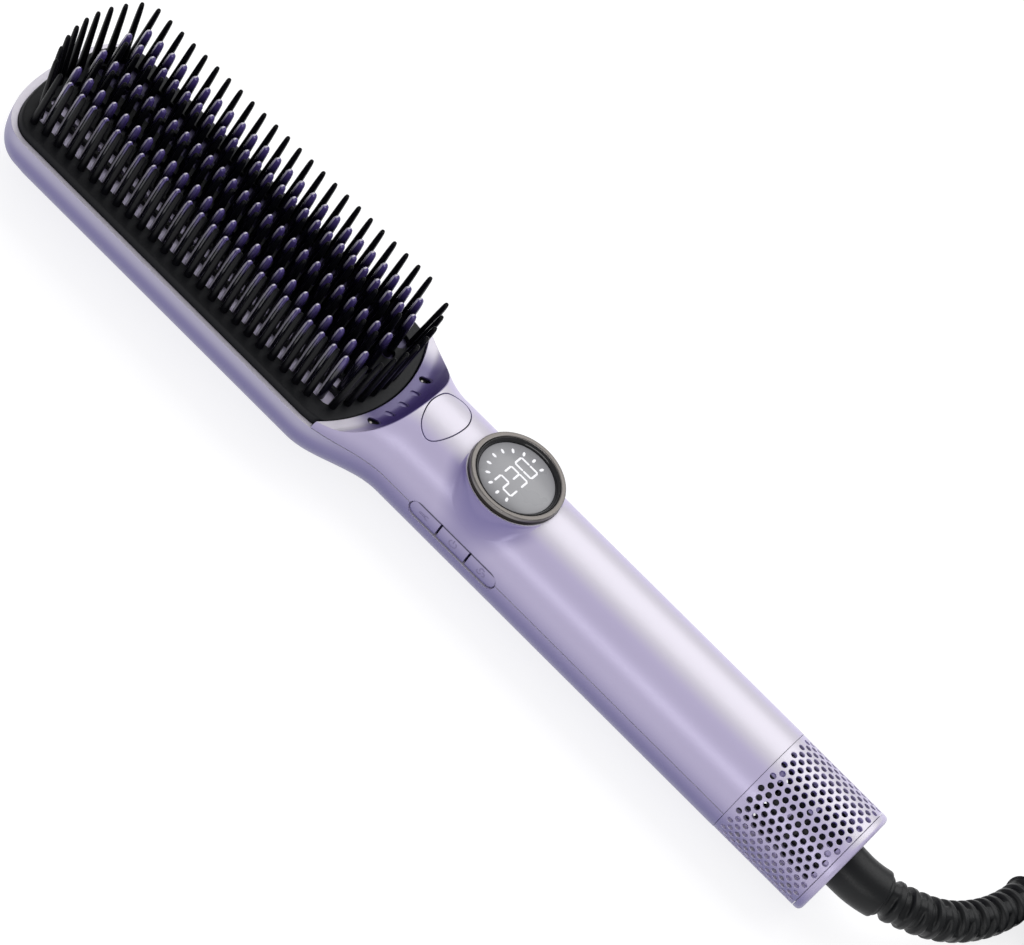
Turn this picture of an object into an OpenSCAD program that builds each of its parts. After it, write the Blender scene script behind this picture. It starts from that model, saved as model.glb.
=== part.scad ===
// Hot air straightening brush, millimetres.
// It lies on its back: +X runs to the cord, -Y is the side with the three buttons, and +Z is up.

/* [Body] */
// Length from the tip of the head to the end of the inlet cap
body_len = 318; // [314:1:322]
// Diameter of the round handle
handle_d = 36; // [36:0.1:36.4]
// Wall of the moulded handle
wall = 1.8; // [1.6:0.1:1.8]
// Width of the head across its lip
head_w = 57; // [56.6:0.1:58]
// Height of the lip of the head above the surface it lies on
lip_z = 22; // [21.8:0.1:22.2]

/* [Bristle bed] */
// Distance between the teeth along a row
tooth_pitch = 4.75; // [4.6:0.05:4.8]
// Height of the tips of the heated teeth above the surface
tooth_tip_z = 42.4; // [38:0.1:44]
// Height of the tips of the outer black pins above the surface
pin_tip_z = 46.8; // [43:0.1:49]
// Thickness of a heated tooth at its foot
tooth_d = 2.3; // [1.8:0.1:2.4]
// Thickness of a black pin at its foot
pin_d = 1.7; // [1.3:0.1:1.9]

/* [Controls] */
// Outer diameter of the display ring
display_d = 29.4; // [29.2:0.1:29.8]
// Travel of the three side buttons
side_travel = 0.8; // [0.4:0.1:0.8]
// Travel of the cool shot button
cool_travel = 0.7; // [0.4:0.1:0.7]

/* [Inlet cap] */
// Diameter of one hole of the inlet grille
hole_d = 1.85; // [1.5:0.05:2]
// Number of holes in one ring of the inlet grille
holes_round = 24; // [12:2:26]
// Distance between the holes along the cap
hole_step = 2.84; // [2.7:0.02:2.9]

/* [Cord] */
// Diameter of the mains cord
cord_d = 7; // [6.6:0.1:7]
// Radius of the outermost turn of the coiled cord
coil_r = 49; // [47:1:50]
// Turns of the coil in each of its two layers
coil_turns = 3.25; // [2.25:1:3.25]

/* [Hidden] */
$fn = 48;
eps = 0.01;
tip_x = -body_len/2;
end_x = body_len/2;
head_shift = tip_x + 159;
tail_shift = end_x - 159;
axis_z = 18;
handle_r = handle_d/2;
bore_r = handle_r - wall;
seam_x = end_x - 33.5;

// Head: the outline is a superellipse at the tip, and the section a superellipse throughout
tip_len = 15;
tip_n = 2.5;
rise_len = 17;
rise_n = 2.6;
nose_h = 5;
pad_sink = 0.4;
pan_wall = 2.4;
rim_wall = 1.6;
ledge_z = 18.6;
bed_gap = 0.15;
bed_shoulder = 1;
tip_inset = 0.7;
bed_edge = 0.6;
neck_x0 = head_shift - 36;
neck_x1 = head_shift - 8;
head_section_n = 2.2;
arc_steps = 24;

// Scoop: a bowl round a vertical line through the head, which ends the bristle bed in an arc
bowl_x = head_shift - 70;
bed_r = 47.6;
scoop_r = 50;
scoop_w = 6.4;
scoop_z = 24.8;
scoop_h = 36 - scoop_z;
vent_r = scoop_r + 0.4;
vent_angles = [-14.2, -7, 0, 7, 14.2];

// Bristle bed, from the bottom up
plate_z = 20.8;
plate_t = 2;
bed_top_z = 24.4;
plate_half_w = 20.2;
teeth_in_row = 25;
row_x = head_shift - 147.9;
last_x = row_x + (teeth_in_row - 1)*tooth_pitch;
inner_rows = [0, -11.3, 11.3];
outer_rows = [-17.66, 17.66];
outer_pin_y = 22;
inner_pin_y = 5.6;
fan_y = [for (k = [-4:4]) k*4.8];
clamp_screws = [4, 12, 20];
slots = [[0, 3.2], [-10.6, 4], [10.6, 4], [-16.6, 4.8], [16.6, 4.8]];
corner_screws = [for (x = [row_x, last_x], y = [-5.2, 5.2]) [x, y]];

// Controls
display_x = head_shift + 19.2;
display_r = display_d/2;
bezel_z = 35.4;
bezel_top_z = 37.9;
lens_top_z = 36.6;
holder_r = 13.9;
collar_lip = 0.45;
keys_x = head_shift + 19.2;
keys_z = 17.4;
keys_len = 33.6;
keys_h = 6.6;
key_ends = [-16.8, -5.6, 5.6, 16.8];
key_gap = 0.25;
key_sink = 0.4;
egg_x = head_shift - 6.9;
egg_flange = 0.6;
egg_outline = [[-4.7, 5.7], [-5.9, 1.5], [-5.8, -3], [-3.6, -7.8], [0.2, -9.9], [3, -8.8], [5.2, -4.4],
    [5.7, 1.2], [4.1, 5.8], [1.7, 8], [-1, 8.1]];

// Air heater, below the axis of the handle
heater_z = 12.6 - axis_z;
heater_x0 = head_shift - 20;
heater_x1 = head_shift + 4;
heater_r = 9.8;

// Fan and tail
fan_x = tail_shift + 66;
fan_len = 32;
sleeve_r = bore_r - 0.1;
duct_r = 13.5;
duct_bore = 12.3;
shaft_r = 1;
// Screws that join the halves: place, height of the seat of the head, and end of the pilot hole
shell_screw_spots = [[head_shift - 14.5, -12.6, 8.6, 27.5], [head_shift - 14.5, 12.6, 8.6, 27.5],
    [head_shift + 56, 0, 6, 32], [tail_shift + 108, 0, 6, 32]];
cap_r = handle_r - 0.1;
cap_bore = 16.7;
cap_groove_x = end_x - 2.7;
gland_r = 7.9;

// Cord: the boot, the relief and the lead follow these points, then comes the coil and the tail
boot_route = [[159, 0, 18], [164, 0, 18], [168, 0.7, 17.9], [171.8, 2.1, 17.6]];
boot_radii = [7.5, 7.45, 7.35, 7.25];
boot_end = [4.2, 1.8, -0.4];
lead_start = [1, 6.6, -1.8];
relief_route = [[171.8, 2.1, 17.6], [176.6, 4.2, 17.1], [182.4, 7.9, 16.1], [187.4, 12.3, 14.8],
    [191.6, 17.7, 13.3], [195.2, 24.3, 11.6], [198.4, 32.4, 9.8], [200.6, 41, 8.2], [202, 50, 6.8]];
relief_ribs = 14;
lead_route = [[202, 50, 6.8], [202.9, 53.5, 5.2], [203.4, 57, 4], [203.5, 60, 3.5]];
tail_route = [[301.5, 60, 11.15], [300.85, 52.4, 11.1], [299, 44.5, 11], [296.3, 37.5, 11],
    [294.5, 30, 11]];
cord_r = cord_d/2;
cord_sides = 10;
coil_x = 252.5;
coil_y = 60;
coil_pitch = 7.65;
coil_rings = 24;
plug_x = 294.5;
plug_z = 11;
pin_spacing = 19;
pin_r = 2.4;
pin_len = 19;
plug_face_y = -6;

lilac = "#b9aedb";
black = "#1b1a1e";
violet = "#4b3a86";

// Smooth step from 0 to 1
function smooth(t) = let (u = min(max(t, 0), 1)) u*u*(3 - 2*u);
// 0 on the head and 1 on the handle
function neck(x) = smooth((x - neck_x0)/(neck_x1 - neck_x0));
function blend(a, b, t) = a + (b - a)*t;
function unit(v) = v/norm(v);

// Half width of the body at x, for a wall k deep
function half_w(x, k) =
    x < tip_x + tip_len
    ? (head_w/2 - k)*pow(max(1 - pow((tip_x + tip_len - x)/(tip_len - k), tip_n), 0), 1/tip_n)
    : blend(head_w/2, handle_r, neck(x)) - k;
// Height of the joint between the two halves
function split_z(x) = blend(lip_z, axis_z, neck(x));
// Height of the back of the body, which rises at the tip
function back_z(x, k) =
    x < tip_x + rise_len
    ? k + (lip_z - nose_h - k)
        *(1 - pow(max(1 - pow((tip_x + rise_len - x)/(rise_len - k), rise_n), 0), 1/rise_n))
    : k - pad_sink*(1 - neck(x));
function section_n(x) = blend(head_section_n, 2, neck(x));
function inner_wall(x) = blend(pan_wall, wall, neck(x));

// Half sections, each from one side to the other, with an optional straight part past the joint
function half_section(x, k, up, past) =
    let (a = half_w(x, k), z0 = split_z(x), n = section_n(x))
    let (b = up ? 2*axis_z - z0 - k : z0 - back_z(x, k), s = up ? 1 : -1)
    concat(
        [for (i = [0:arc_steps]) let (t = 180*i/arc_steps)
            [x, s*a*sign(cos(t))*pow(abs(cos(t)), 2/n), max(z0 + s*b*pow(abs(sin(t)), 2/n), 0)]],
        past > 0 ? [[x, -s*a, z0 - s*past], [x, s*a, z0 - s*past]] : []);

tip_turns = [6, 14, 24, 34, 46, 60, 75, 90];
function tip_stations(k) = [for (t = tip_turns) tip_x + tip_len - (tip_len - k)*pow(cos(t), 2/tip_n)];
neck_stations = [for (i = [0:8]) blend(neck_x0, neck_x1, i/8)];

// Solid through a list of rings, which run anticlockwise seen from the far end
module loft(rings) {
    n = len(rings[0]);
    last = len(rings) - 1;
    polyhedron(
        points = [for (ring = rings) for (p = ring) p],
        faces = concat(
            [[for (i = [0:n - 1]) i]],
            [[for (i = [n - 1:-1:0]) last*n + i]],
            [for (j = [0:last - 1], i = [0:n - 1]) [j*n + i, (j + 1)*n + i, (j + 1)*n + (i + 1)%n]],
            [for (j = [0:last - 1], i = [0:n - 1]) [j*n + i, (j + 1)*n + (i + 1)%n, j*n + (i + 1)%n]]));
}

// Direction of a route at its point i, where ends gives those of its first and last point
function route_dir(p, i, ends) =
    i == 0 ? unit(ends[0]) : i == len(p) - 1 ? unit(ends[1]) : unit(p[i + 1] - p[i - 1]);
function tube_ring(c, dir, r, sides) =
    let (side = unit(cross([0, 0, 1], dir)), top = cross(dir, side))
    [for (k = [0:sides - 1]) c + r*(cos(360*k/sides)*side + sin(360*k/sides)*top)];
// Tube along a route, with one radius or one for each point
module tube(route, ends, radii, sides) {
    loft([for (i = [0:len(route) - 1])
        tube_ring(route[i], route_dir(route, i, ends), is_list(radii) ? radii[i] : radii, sides)]);
}
function shifted(route, dx) = [for (p = route) p + [dx, 0, 0]];

module rod_x(x0, x1, r) {
    translate([x0, 0, axis_z]) rotate([0, 90, 0]) cylinder(h = x1 - x0, r = r);
}
module ring_x(x0, x1, r, bore) {
    difference() {
        rod_x(x0, x1, r);
        rod_x(x0 - 1, x1 + 1, bore);
    }
}
module profile_x(x0, x1) {
    translate([x0, 0, 0]) rotate([90, 0, 90]) linear_extrude(x1 - x0) children();
}
module block(x0, x1, y0, y1, z0, z1) {
    translate([x0, y0, z0]) cube([x1 - x0, y1 - y0, z1 - z0]);
}
module post(x, y, z0, z1, r) {
    translate([x, y, z0]) cylinder(h = z1 - z0, r = r);
}
module stadium(length, width, sides = 32) {
    hull() {
        for (s = [-1, 1]) translate([s*(length - width)/2, 0]) circle(d = width, $fn = sides);
    }
}
// A post that widens towards its foot
module tapered_post(x, y, z0, z1, r) {
    hull() {
        translate([x, y, z1 - 0.5]) cylinder(h = 0.5, r = r, $fn = 16);
        translate([x, y, z0]) cylinder(h = 0.5, r = r*1.25, $fn = 16);
    }
}

// Outline of the head inside its lip, which is thicker at the tip, up to the arc
module bed_outline(k, r) {
    side = concat([for (t = tip_turns) [tip_x + tip_len - (tip_len - k - tip_inset)*pow(cos(t), 2/tip_n),
            (head_w/2 - k)*pow(sin(t), 2/tip_n)]],
        [for (x = neck_stations) if (x < bowl_x + r) [x, half_w(x, k)]]);
    intersection() {
        polygon(concat([for (p = side) [p[0], -p[1]]], [for (i = [len(side) - 1:-1:0]) side[i]]));
        union() {
            translate([bowl_x, 0]) circle(r = r, $fn = 180);
            translate([tip_x, -head_w]) square([bowl_x - tip_x, 2*head_w]);
        }
    }
}

// Space above the scoop, k deeper all round
module scoop_space(k) {
    translate([bowl_x, 0, 0])
        rotate_extrude($fn = 96)
            polygon(concat([[0, 60], [0, scoop_z - k]],
                [for (i = [0:8]) let (s = sin(90*i/8))
                    [scoop_r + (scoop_w + k)*s, scoop_z - k + scoop_h*(1 - cos(90*i/8))]],
                [[scoop_r + scoop_w + k, 60]]));
}

module keys_outline(grow) {
    translate([keys_x, keys_z]) stadium(keys_len + 2*grow, keys_h + 2*grow);
}
module keys_opening() {
    translate([0, -handle_r - 2, 0]) rotate([-90, 0, 0]) linear_extrude(6)
        mirror([0, 1]) keys_outline(0);
}
// Smooth closed curve through the points of the outline
function egg_curve(steps) = let (n = len(egg_outline))
    [for (i = [0:n - 1], k = [0:steps - 1])
        let (a = egg_outline[(i + n - 1)%n], b = egg_outline[i], c = egg_outline[(i + 1)%n],
            d = egg_outline[(i + 2)%n], t = k/steps)
        (2*b + (c - a)*t + (2*a - 5*b + 4*c - d)*t*t + (3*b - a - 3*c + d)*t*t*t)/2];
module egg(grow) {
    translate([egg_x, 0]) offset(r = grow, $fn = 24) polygon(egg_curve(3));
}

// Back half: a thin boat with a ledge for the bristle bed, screw bosses and seats for what it carries
module lower_shell() {
    outer = concat(tip_stations(0), [tip_x + rise_len], neck_stations, [seam_x]);
    inner = concat(tip_stations(pan_wall), [tip_x + rise_len], neck_stations, [seam_x + 1]);
    $fn = 20;
    color(lilac) difference() {
        union() {
            difference() {
                loft([for (x = outer) half_section(x, 0, false, 0)]);
                loft([for (x = inner) half_section(x, inner_wall(x), false, 4)]);
                translate([0, 0, ledge_z]) linear_extrude(10) bed_outline(rim_wall, bed_r + 0.2);
            }
            intersection() {
                union() {
                    for (p = shell_screw_spots) tapered_post(p[0], p[1], 1, split_z(p[0]), 2.6);
                    for (x = [12, 42], y = [-7, 9.5]) tapered_post(head_shift + x, y, 1.5, 8, 1.5);
                    heater_cradle(-16.5);
                    heater_cradle(0.5);
                    for (x = [6, 32.4]) block(head_shift + x - 0.7, head_shift + x + 0.7, -12, -9, 3, 13.4);
                    for (s = [-1, 1], x = [-120, -70])
                        block(head_shift + x, head_shift + x + 1.4, s*7 - 0.7, s*7 + 0.7, 1.5, 5.6);
                }
                loft([for (x = inner) half_section(x, inner_wall(x) - 0.3, false, 4)]);
            }
        }
        for (p = shell_screw_spots) {
            post(p[0], p[1], -1, p[2], 2.9);
            post(p[0], p[1], -1, 40, 1.4);
        }
        block(head_shift + 3, head_shift + 35.5, -11, -10, 12, 20);
        keys_opening();
    }
}
module heater_cradle(x) {
    difference() {
        hull() {
            block(head_shift + x - 0.7, head_shift + x + 0.7, -9, 9, 2, 6);
            block(head_shift + x - 0.7, head_shift + x + 0.7, -7, 7, 1.5, 2);
        }
        translate([0, 0, heater_z]) rod_x(head_shift + x - 2, head_shift + x + 2, heater_r + 0.15, $fn = 60);
    }
}

// Front half: handle and neck, with the scoop, the display boss and the openings of the controls
module upper_cover() {
    outer = concat([neck_x0 + 2], [for (i = [1:8]) neck_stations[i]], [seam_x]);
    inner = concat([neck_x0 + 1], [for (i = [1:8]) neck_stations[i]], [seam_x + 1]);
    $fn = 20;
    color(lilac) difference() {
        union() {
            difference() {
                loft([for (x = outer) half_section(x, 0, true, 0)]);
                difference() {
                    loft([for (x = inner) half_section(x, inner_wall(x), true, 4)]);
                    scoop_space(wall);
                }
            }
            translate([display_x, 0, 26])
                cylinder(h = bezel_z - 26, r1 = display_r + 1.3, r2 = display_r + collar_lip, $fn = 60);
            intersection() {
                union() {
                    for (p = shell_screw_spots) post(p[0], p[1], split_z(p[0]), 40, 2.5);
                    for (a = [vent_angles[0], vent_angles[4]])
                        translate([bowl_x, 0, 0]) rotate(a) post(vent_r, 0, 21.3, 24, 2.4);
                    for (x = [39.5, 47.5]) hull() {
                        block(head_shift + x, head_shift + x + 1.4, -6.5, 6.5, 31, 32);
                        block(head_shift + x, head_shift + x + 1.4, -9, 9, 33, 36);
                    }
                    for (y = [-12.9, 11]) post(egg_x, y, 26.4, 36, 1.1);
                }
                loft([for (x = inner) half_section(x, inner_wall(x) - 0.3, true, 4)]);
            }
        }
        scoop_space(0);
        translate([bowl_x, 0, 0]) cylinder(h = 60, r = bed_r + 0.2, $fn = 180);
        translate([display_x, 0, 20]) cylinder(h = 20, r = holder_r + 0.2, $fn = 60);
        translate([display_x, 0, bezel_z]) cylinder(h = 10, r = display_r + 0.1, $fn = 60);
        translate([0, 0, 25]) linear_extrude(15) egg(key_gap);
        translate([0, 0, 28.3]) linear_extrude(2.4) egg(egg_flange + 0.3);
        keys_opening();
        for (i = [0:4]) translate([bowl_x, 0, 0]) rotate(vent_angles[i])
            translate([vent_r, 0, i == 0 || i == 4 ? 20 : scoop_z - 0.7])
                linear_extrude(8) rotate(90) stadium(3.6, 2.2, 16);
        for (a = [vent_angles[0], vent_angles[4]])
            translate([bowl_x, 0, 0]) rotate(a) post(vent_r, 0, 19, 22.7, 1.55);
        for (p = shell_screw_spots) post(p[0], p[1], 10, p[3], 1.3);
    }
}

// Round pin of four sides with a short point
module pin(foot, tip, d) {
    r = d/2;
    dir = tip - foot;
    neck_point = tip - dir*(d*0.7/norm(dir));
    corners = [[1, 0, 0], [0, 1, 0], [-1, 0, 0], [0, -1, 0]];
    polyhedron(
        points = concat([for (c = corners) foot + r*c], [for (c = corners) neck_point + 0.82*r*c], [tip]),
        faces = concat([[0, 1, 2], [0, 2, 3]],
            [for (i = [0:3]) [i, i + 4, (i + 1)%4]],
            [for (i = [0:3]) [(i + 1)%4, i + 4, (i + 1)%4 + 4]],
            [for (i = [0:3]) [i + 4, 8, (i + 1)%4 + 4]]));
}

// Black cover of the head: a plate with slots for the teeth, its own pins and four screw bosses
module bristle_base() {
    foot_z = bed_top_z - 1;
    $fn = 16;
    color(black) {
        difference() {
            hull() {
                translate([0, 0, ledge_z]) linear_extrude(lip_z - ledge_z)
                    bed_outline(rim_wall + bed_gap, bed_r);
                translate([0, 0, bed_top_z - eps]) linear_extrude(eps)
                    bed_outline(rim_wall + bed_gap + bed_shoulder, bed_r - bed_edge);
            }
            block(tip_x + 6.2, head_shift - 27.7, -plate_half_w - 0.3, plate_half_w + 0.3, 0,
                plate_z + plate_t);
            for (s = slots) translate([(row_x + last_x)/2, s[0], 0]) linear_extrude(40)
                stadium(last_x - row_x + 5, s[1], 16);
            for (p = corner_screws) post(p[0], p[1], 20, 24, 0.9);
        }
        for (i = [0:teeth_in_row - 2], s = [-1, 1]) {
            x = row_x + i*tooth_pitch;
            pin([x, s*(outer_pin_y - 0.2), foot_z], [x, s*outer_pin_y, pin_tip_z], pin_d);
            pin([x + tooth_pitch/2, s*inner_pin_y, foot_z],
                [x + tooth_pitch/2, s*inner_pin_y, pin_tip_z - 1.8], pin_d);
        }
        for (y = fan_y) {
            tip_fan_x = tip_x + 1.6 + 0.014*y*y;
            pin([tip_fan_x + 3.8, y*0.97, foot_z], [tip_fan_x, y, pin_tip_z], pin_d);
            end_fan_x = bowl_x + sqrt(44.5*44.5 - y*y);
            pin([end_fan_x - 1.5, y*0.97, foot_z], [end_fan_x, y, pin_tip_z], pin_d);
        }
        for (s = [-1, 1], k = [0:1])
            tapered_post(row_x + 20 + 60*k, s*23.2, ledge_z - 1.2, bed_top_z - 1, 1.1);
    }
}

// Toothed plate of the head, cast in one piece
module heated_plate() {
    $fn = 12;
    color(violet) {
        difference() {
            block(tip_x + 6.5, head_shift - 28, -plate_half_w, plate_half_w, plate_z, plate_z + plate_t);
            for (p = corner_screws) post(p[0], p[1], 20, 24, 1.2);
            for (i = clamp_screws, s = [-1, 1])
                post(row_x + (i + 0.5)*tooth_pitch, s*11.3, 20, plate_z + plate_t - 0.5, 0.95);
            for (i = [1:2:teeth_in_row - 3], s = [-1, 1])
                translate([row_x + (i + 0.5)*tooth_pitch, s*11.3, 20]) linear_extrude(4)
                    rotate(90) stadium(2.6, 1.8, 8);
        }
        for (y = inner_rows, i = [0:teeth_in_row - 1])
            pin([row_x + i*tooth_pitch, y, plate_z + 1], [row_x + i*tooth_pitch, y, tooth_tip_z], tooth_d);
        for (y = outer_rows, i = [0:teeth_in_row - 2])
            pin([row_x + (i + 0.5)*tooth_pitch, y, plate_z + 1],
                [row_x + (i + 0.5)*tooth_pitch, y, tooth_tip_z], tooth_d);
    }
}

module heater_strip() {
    color("#d8d4cc") block(head_shift - 138, head_shift - 42, -7, 7, plate_z - 2.5, plate_z);
}

// Spring channel under the strip, with three pairs of ears screwed to the plate
module heater_clamp() {
    color("silver") difference() {
        union() {
            profile_x(head_shift - 140, head_shift - 40)
                polygon([[-8.4, 19.6], [-8.4, 17.1], [8.4, 17.1], [8.4, 19.6], [7.2, 19.6], [7.2, 18.3],
                    [-7.2, 18.3], [-7.2, 19.6]]);
            for (i = clamp_screws, s = [-1, 1]) {
                x = row_x + (i + 0.5)*tooth_pitch;
                block(x - 3.5, x + 3.5, min(s*7.2, s*8.4), max(s*7.2, s*8.4), 19.5, plate_z);
                block(x - 3.5, x + 3.5, min(s*8.3, s*13.8), max(s*8.3, s*13.8), 19.6, plate_z);
            }
        }
        for (i = clamp_screws, s = [-1, 1]) post(row_x + (i + 0.5)*tooth_pitch, s*11.3, 19, 21, 0.95);
    }
}

module sensor_body(x, length, r) {
    translate([0, 0, 17.1 - r - axis_z]) {
        rod_x(x, x + length, r);
        rod_x(x - 6, x, 0.5);
        rod_x(x + length, x + length + 6, 0.5);
    }
}
module thermal_fuse() {
    color("#c9a24a") sensor_body(head_shift - 78, 9, 1.9);
}
module temperature_sensor() {
    color("#a33b2a") sensor_body(head_shift - 104, 4.5, 1.2);
}

// Screws of the clamp and of the plate
module plate_screws() {
    color("silver") {
        for (i = clamp_screws, s = [-1, 1]) let (x = row_x + (i + 0.5)*tooth_pitch) {
            post(x, s*11.3, 18.2, 19.6, 1.8);
            post(x, s*11.3, 19.5, plate_z + plate_t - 0.6, 0.9);
        }
        for (p = corner_screws) {
            post(p[0], p[1], plate_z - 1.5, plate_z, 2);
            post(p[0], p[1], plate_z - 0.1, 23.9, 0.85);
        }
    }
}

// Trough that leads the hot air along the back of the plate, closed at the tip
module air_duct() {
    duct_x0 = head_shift - 150;
    color("#2b2b2f") {
        profile_x(duct_x0, head_shift - 28)
            polygon([[-20, plate_z], [-20, 17], [-10.4, 5.6], [10.4, 5.6], [20, 17], [20, plate_z],
                [18.8, plate_z], [18.8, 17.4], [9.8, 6.8], [-9.8, 6.8], [-18.8, 17.4], [-18.8, plate_z]]);
        profile_x(duct_x0, duct_x0 + 1.2)
            polygon([[-19, 19.2], [-19, 17.3], [-10, 6.6], [10, 6.6], [19, 17.3], [19, 19.2]]);
    }
}

// Air heater: a mica cross with rings of resistance wire, in a mica sleeve
module heater_sleeve() {
    color("#c8c0ac") translate([0, 0, heater_z]) ring_x(heater_x0, heater_x1, heater_r, heater_r - 0.6);
}
module heater_frame() {
    color("#d9d2bd") translate([0, 0, heater_z]) for (a = [0, 90])
        translate([0, 0, axis_z]) rotate([a, 0, 0]) difference() {
            translate([heater_x0 + 1, -8.2, -0.4]) cube([22, 16.4, 0.8]);
            if (a == 90) translate([heater_x0, -0.4, -1]) cube([24, 0.8, 2]);
        }
}
module heater_coil() {
    color("#8c8c92") translate([0, 0, heater_z + axis_z]) for (k = [0:8])
        translate([heater_x0 + 2.5 + 2.3*k, 0, 0]) rotate([0, 90, 0]) rotate_extrude()
            translate([8.65, 0]) circle(r = 0.4, $fn = 16);
}

// Power and control board with its larger parts
module main_board() {
    color("#2f6b45") block(head_shift + 8, head_shift + 46, -8.5, 11, 8, 9.6);
    color("#303036") block(head_shift + 12, head_shift + 22, 0, 9, 9.6, 15);
    color("#c9b45a") block(head_shift + 26, head_shift + 34, -6, 2, 9.6, 16);
    color("#22262e") for (p = [[40, -3], [40, 6]]) post(head_shift + p[0], p[1], 9.6, 17, 3);
    color("silver") block(head_shift + 25, head_shift + 36, 6, 7.2, 9.6, 17);
}

module ion_generator() {
    color("#26262b") block(head_shift + 38, head_shift + 50.5, -6, 6, 22.5, 31);
}
module ion_emitters() {
    color("#e6e6ea") for (a = [vent_angles[0], vent_angles[4]]) translate([bowl_x, 0, 0]) rotate(a) {
        post(vent_r, 0, 20.2, 22.6, 1.45);
        post(vent_r, 0, 22.5, 23.8, 0.35);
    }
}

// Display: module on its board, held in a cup, behind a window in two rings
module display_board() {
    translate([display_x, 0, 0]) {
        color("#2f6b45") post(0, 0, 33, 34.2, 12.5);
        color("#e8e8ec") post(0, 0, 34.2, 35.2, 10.3);
        color(black) block(-4, 4, -2.5, 2.5, 30, 33);
    }
}
module display_holder() {
    color(black) translate([display_x, 0, 0]) difference() {
        post(0, 0, 27.5, bezel_z, holder_r);
        post(0, 0, 20, 34.2, 12.7);
        post(0, 0, 20, 40, 11);
    }
}
module display_surround() {
    color("#0e0e10") translate([display_x, 0, 0]) rotate_extrude()
        polygon([[11.6, bezel_z], [12.9, bezel_z], [12.9, bezel_top_z - 0.2], [11.6, lens_top_z]]);
}
module display_lens() {
    color([0.55, 0.56, 0.58, 0.9]) translate([display_x, 0, 0]) post(0, 0, bezel_z, lens_top_z, 11.5);
}
module display_bezel() {
    edge = 0.5;
    color("#5b5a5c") translate([display_x, 0, 0]) rotate_extrude()
        polygon([[13, bezel_z], [display_r, bezel_z], [display_r, bezel_top_z - edge],
            [display_r - edge, bezel_top_z], [13 + edge, bezel_top_z], [13, bezel_top_z - edge]]);
}

// Side buttons: cap that follows the handle, flange behind the wall and a stem towards the switch
flange_y = -14.4;
module side_button(k) {
    x0 = keys_x + key_ends[k] + key_gap;
    x1 = keys_x + key_ends[k + 1] - key_gap;
    color(lilac) {
        intersection() {
            translate([0, -handle_r, 0]) rotate([-90, 0, 0]) linear_extrude(handle_r + flange_y - 0.2)
                mirror([0, 1]) intersection() {
                    keys_outline(-key_gap);
                    translate([x0, 0]) square([x1 - x0, 40]);
                }
            rod_x(x0 - 1, x1 + 1, handle_r - key_sink);
        }
        block(x0 - (k == 0 ? 1 : 0), x1 + (k == 2 ? 1 : 0), -15.25, flange_y, 13.6, 21.9);
    }
}
module temperature_button() {
    side_button(0);
}
module power_button() {
    side_button(1);
}
module fan_button() {
    side_button(2);
}
module button_board() {
    y0 = flange_y + side_travel + 0.1;
    color("#2f6b45") block(head_shift + 3.2, head_shift + 35.3, -11, -10, 12, 23);
    for (k = [0:2]) {
        x = keys_x + (key_ends[k] + key_ends[k + 1])/2;
        color("#26262b") block(x - 3, x + 3, y0 + 0.8, -11, 14.4, 20.4);
        color("silver") translate([x, y0, keys_z]) rotate([-90, 0, 0]) cylinder(h = 0.9, r = 1.6);
    }
}

// Cool shot button, flush with the neck, over its switch
module cool_button() {
    color(lilac) {
        intersection() {
            translate([0, 0, 29.4]) linear_extrude(10) egg(0);
            rod_x(head_shift - 30, head_shift + 10, handle_r - 0.05);
        }
        intersection() {
            translate([0, 0, 29.4]) linear_extrude(1) egg(egg_flange);
            rod_x(head_shift - 30, head_shift + 10, bore_r - 0.4);
        }
    }
}
module cool_switch() {
    top = 29.4 - cool_travel - 0.1;
    color("#2f6b45") block(egg_x - 3.5, egg_x + 3.5, -12.8, 11.8, 25.6, 26.4);
    color("#26262b") block(egg_x - 3, egg_x + 3, -3, 3, 26.4, top - 0.6);
    color("silver") post(egg_x, 0, top - 0.7, top, 1.6);
}

// Fan: rubber sleeve, duct with hub and vanes, motor and impeller
module motor_sleeve() {
    color("#3a3a40") difference() {
        union() {
            ring_x(fan_x, fan_x + fan_len, sleeve_r - 0.8, duct_r);
            for (k = [0:3]) ring_x(fan_x + 1 + 9*k, fan_x + 4 + 9*k, sleeve_r, sleeve_r - 1);
        }
        block(fan_x - 1, fan_x + fan_len + 1, -6.4, 6.4, 0, 5.2);
    }
}
module fan_housing() {
    hub_r = 7.4;
    color("#e4e2dd") {
        ring_x(fan_x, fan_x + fan_len, duct_r, duct_bore);
        ring_x(fan_x + 3, fan_x + 23.5, hub_r, 6.4);
        for (x = [3, 21]) ring_x(fan_x + x, fan_x + x + 2.5, 6.5, 3);
        for (k = [0:6]) translate([fan_x + 6, 0, axis_z]) rotate([360*k/7, 0, 0])
            translate([0, -0.5, hub_r - 0.2]) cube([14, 1, duct_bore - hub_r + 0.4]);
    }
}
module motor_stator() {
    color("#a8572c") ring_x(fan_x + 6.5, fan_x + 19.5, 6.4, 4.2);
}
module motor_bearings() {
    color("silver") for (x = [3, 21]) ring_x(fan_x + x, fan_x + x + 2.5, 3, shaft_r + 0.03);
}
module motor_rotor() {
    color("silver") rod_x(fan_x + 1, fan_x + 31, shaft_r);
    color("#6a6a70") ring_x(fan_x + 7, fan_x + 19, 3.6, shaft_r);
}
module impeller() {
    x0 = fan_x + 24.5;
    x1 = x0 + 6;
    color("#f0efe9") difference() {
        union() {
            rod_x(x0, x1, 4.5);
            intersection() {
                rod_x(x0, x1, duct_bore - 0.4);
                for (k = [0:8]) translate([(x0 + x1)/2, 0, axis_z]) rotate([40*k, 0, 0])
                    rotate([0, 0, 42]) translate([-4.2, -0.45, 4]) cube([8.4, 0.9, 9]);
            }
        }
        rod_x(x0 - 1, x1 + 1, shaft_r);
    }
}

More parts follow.
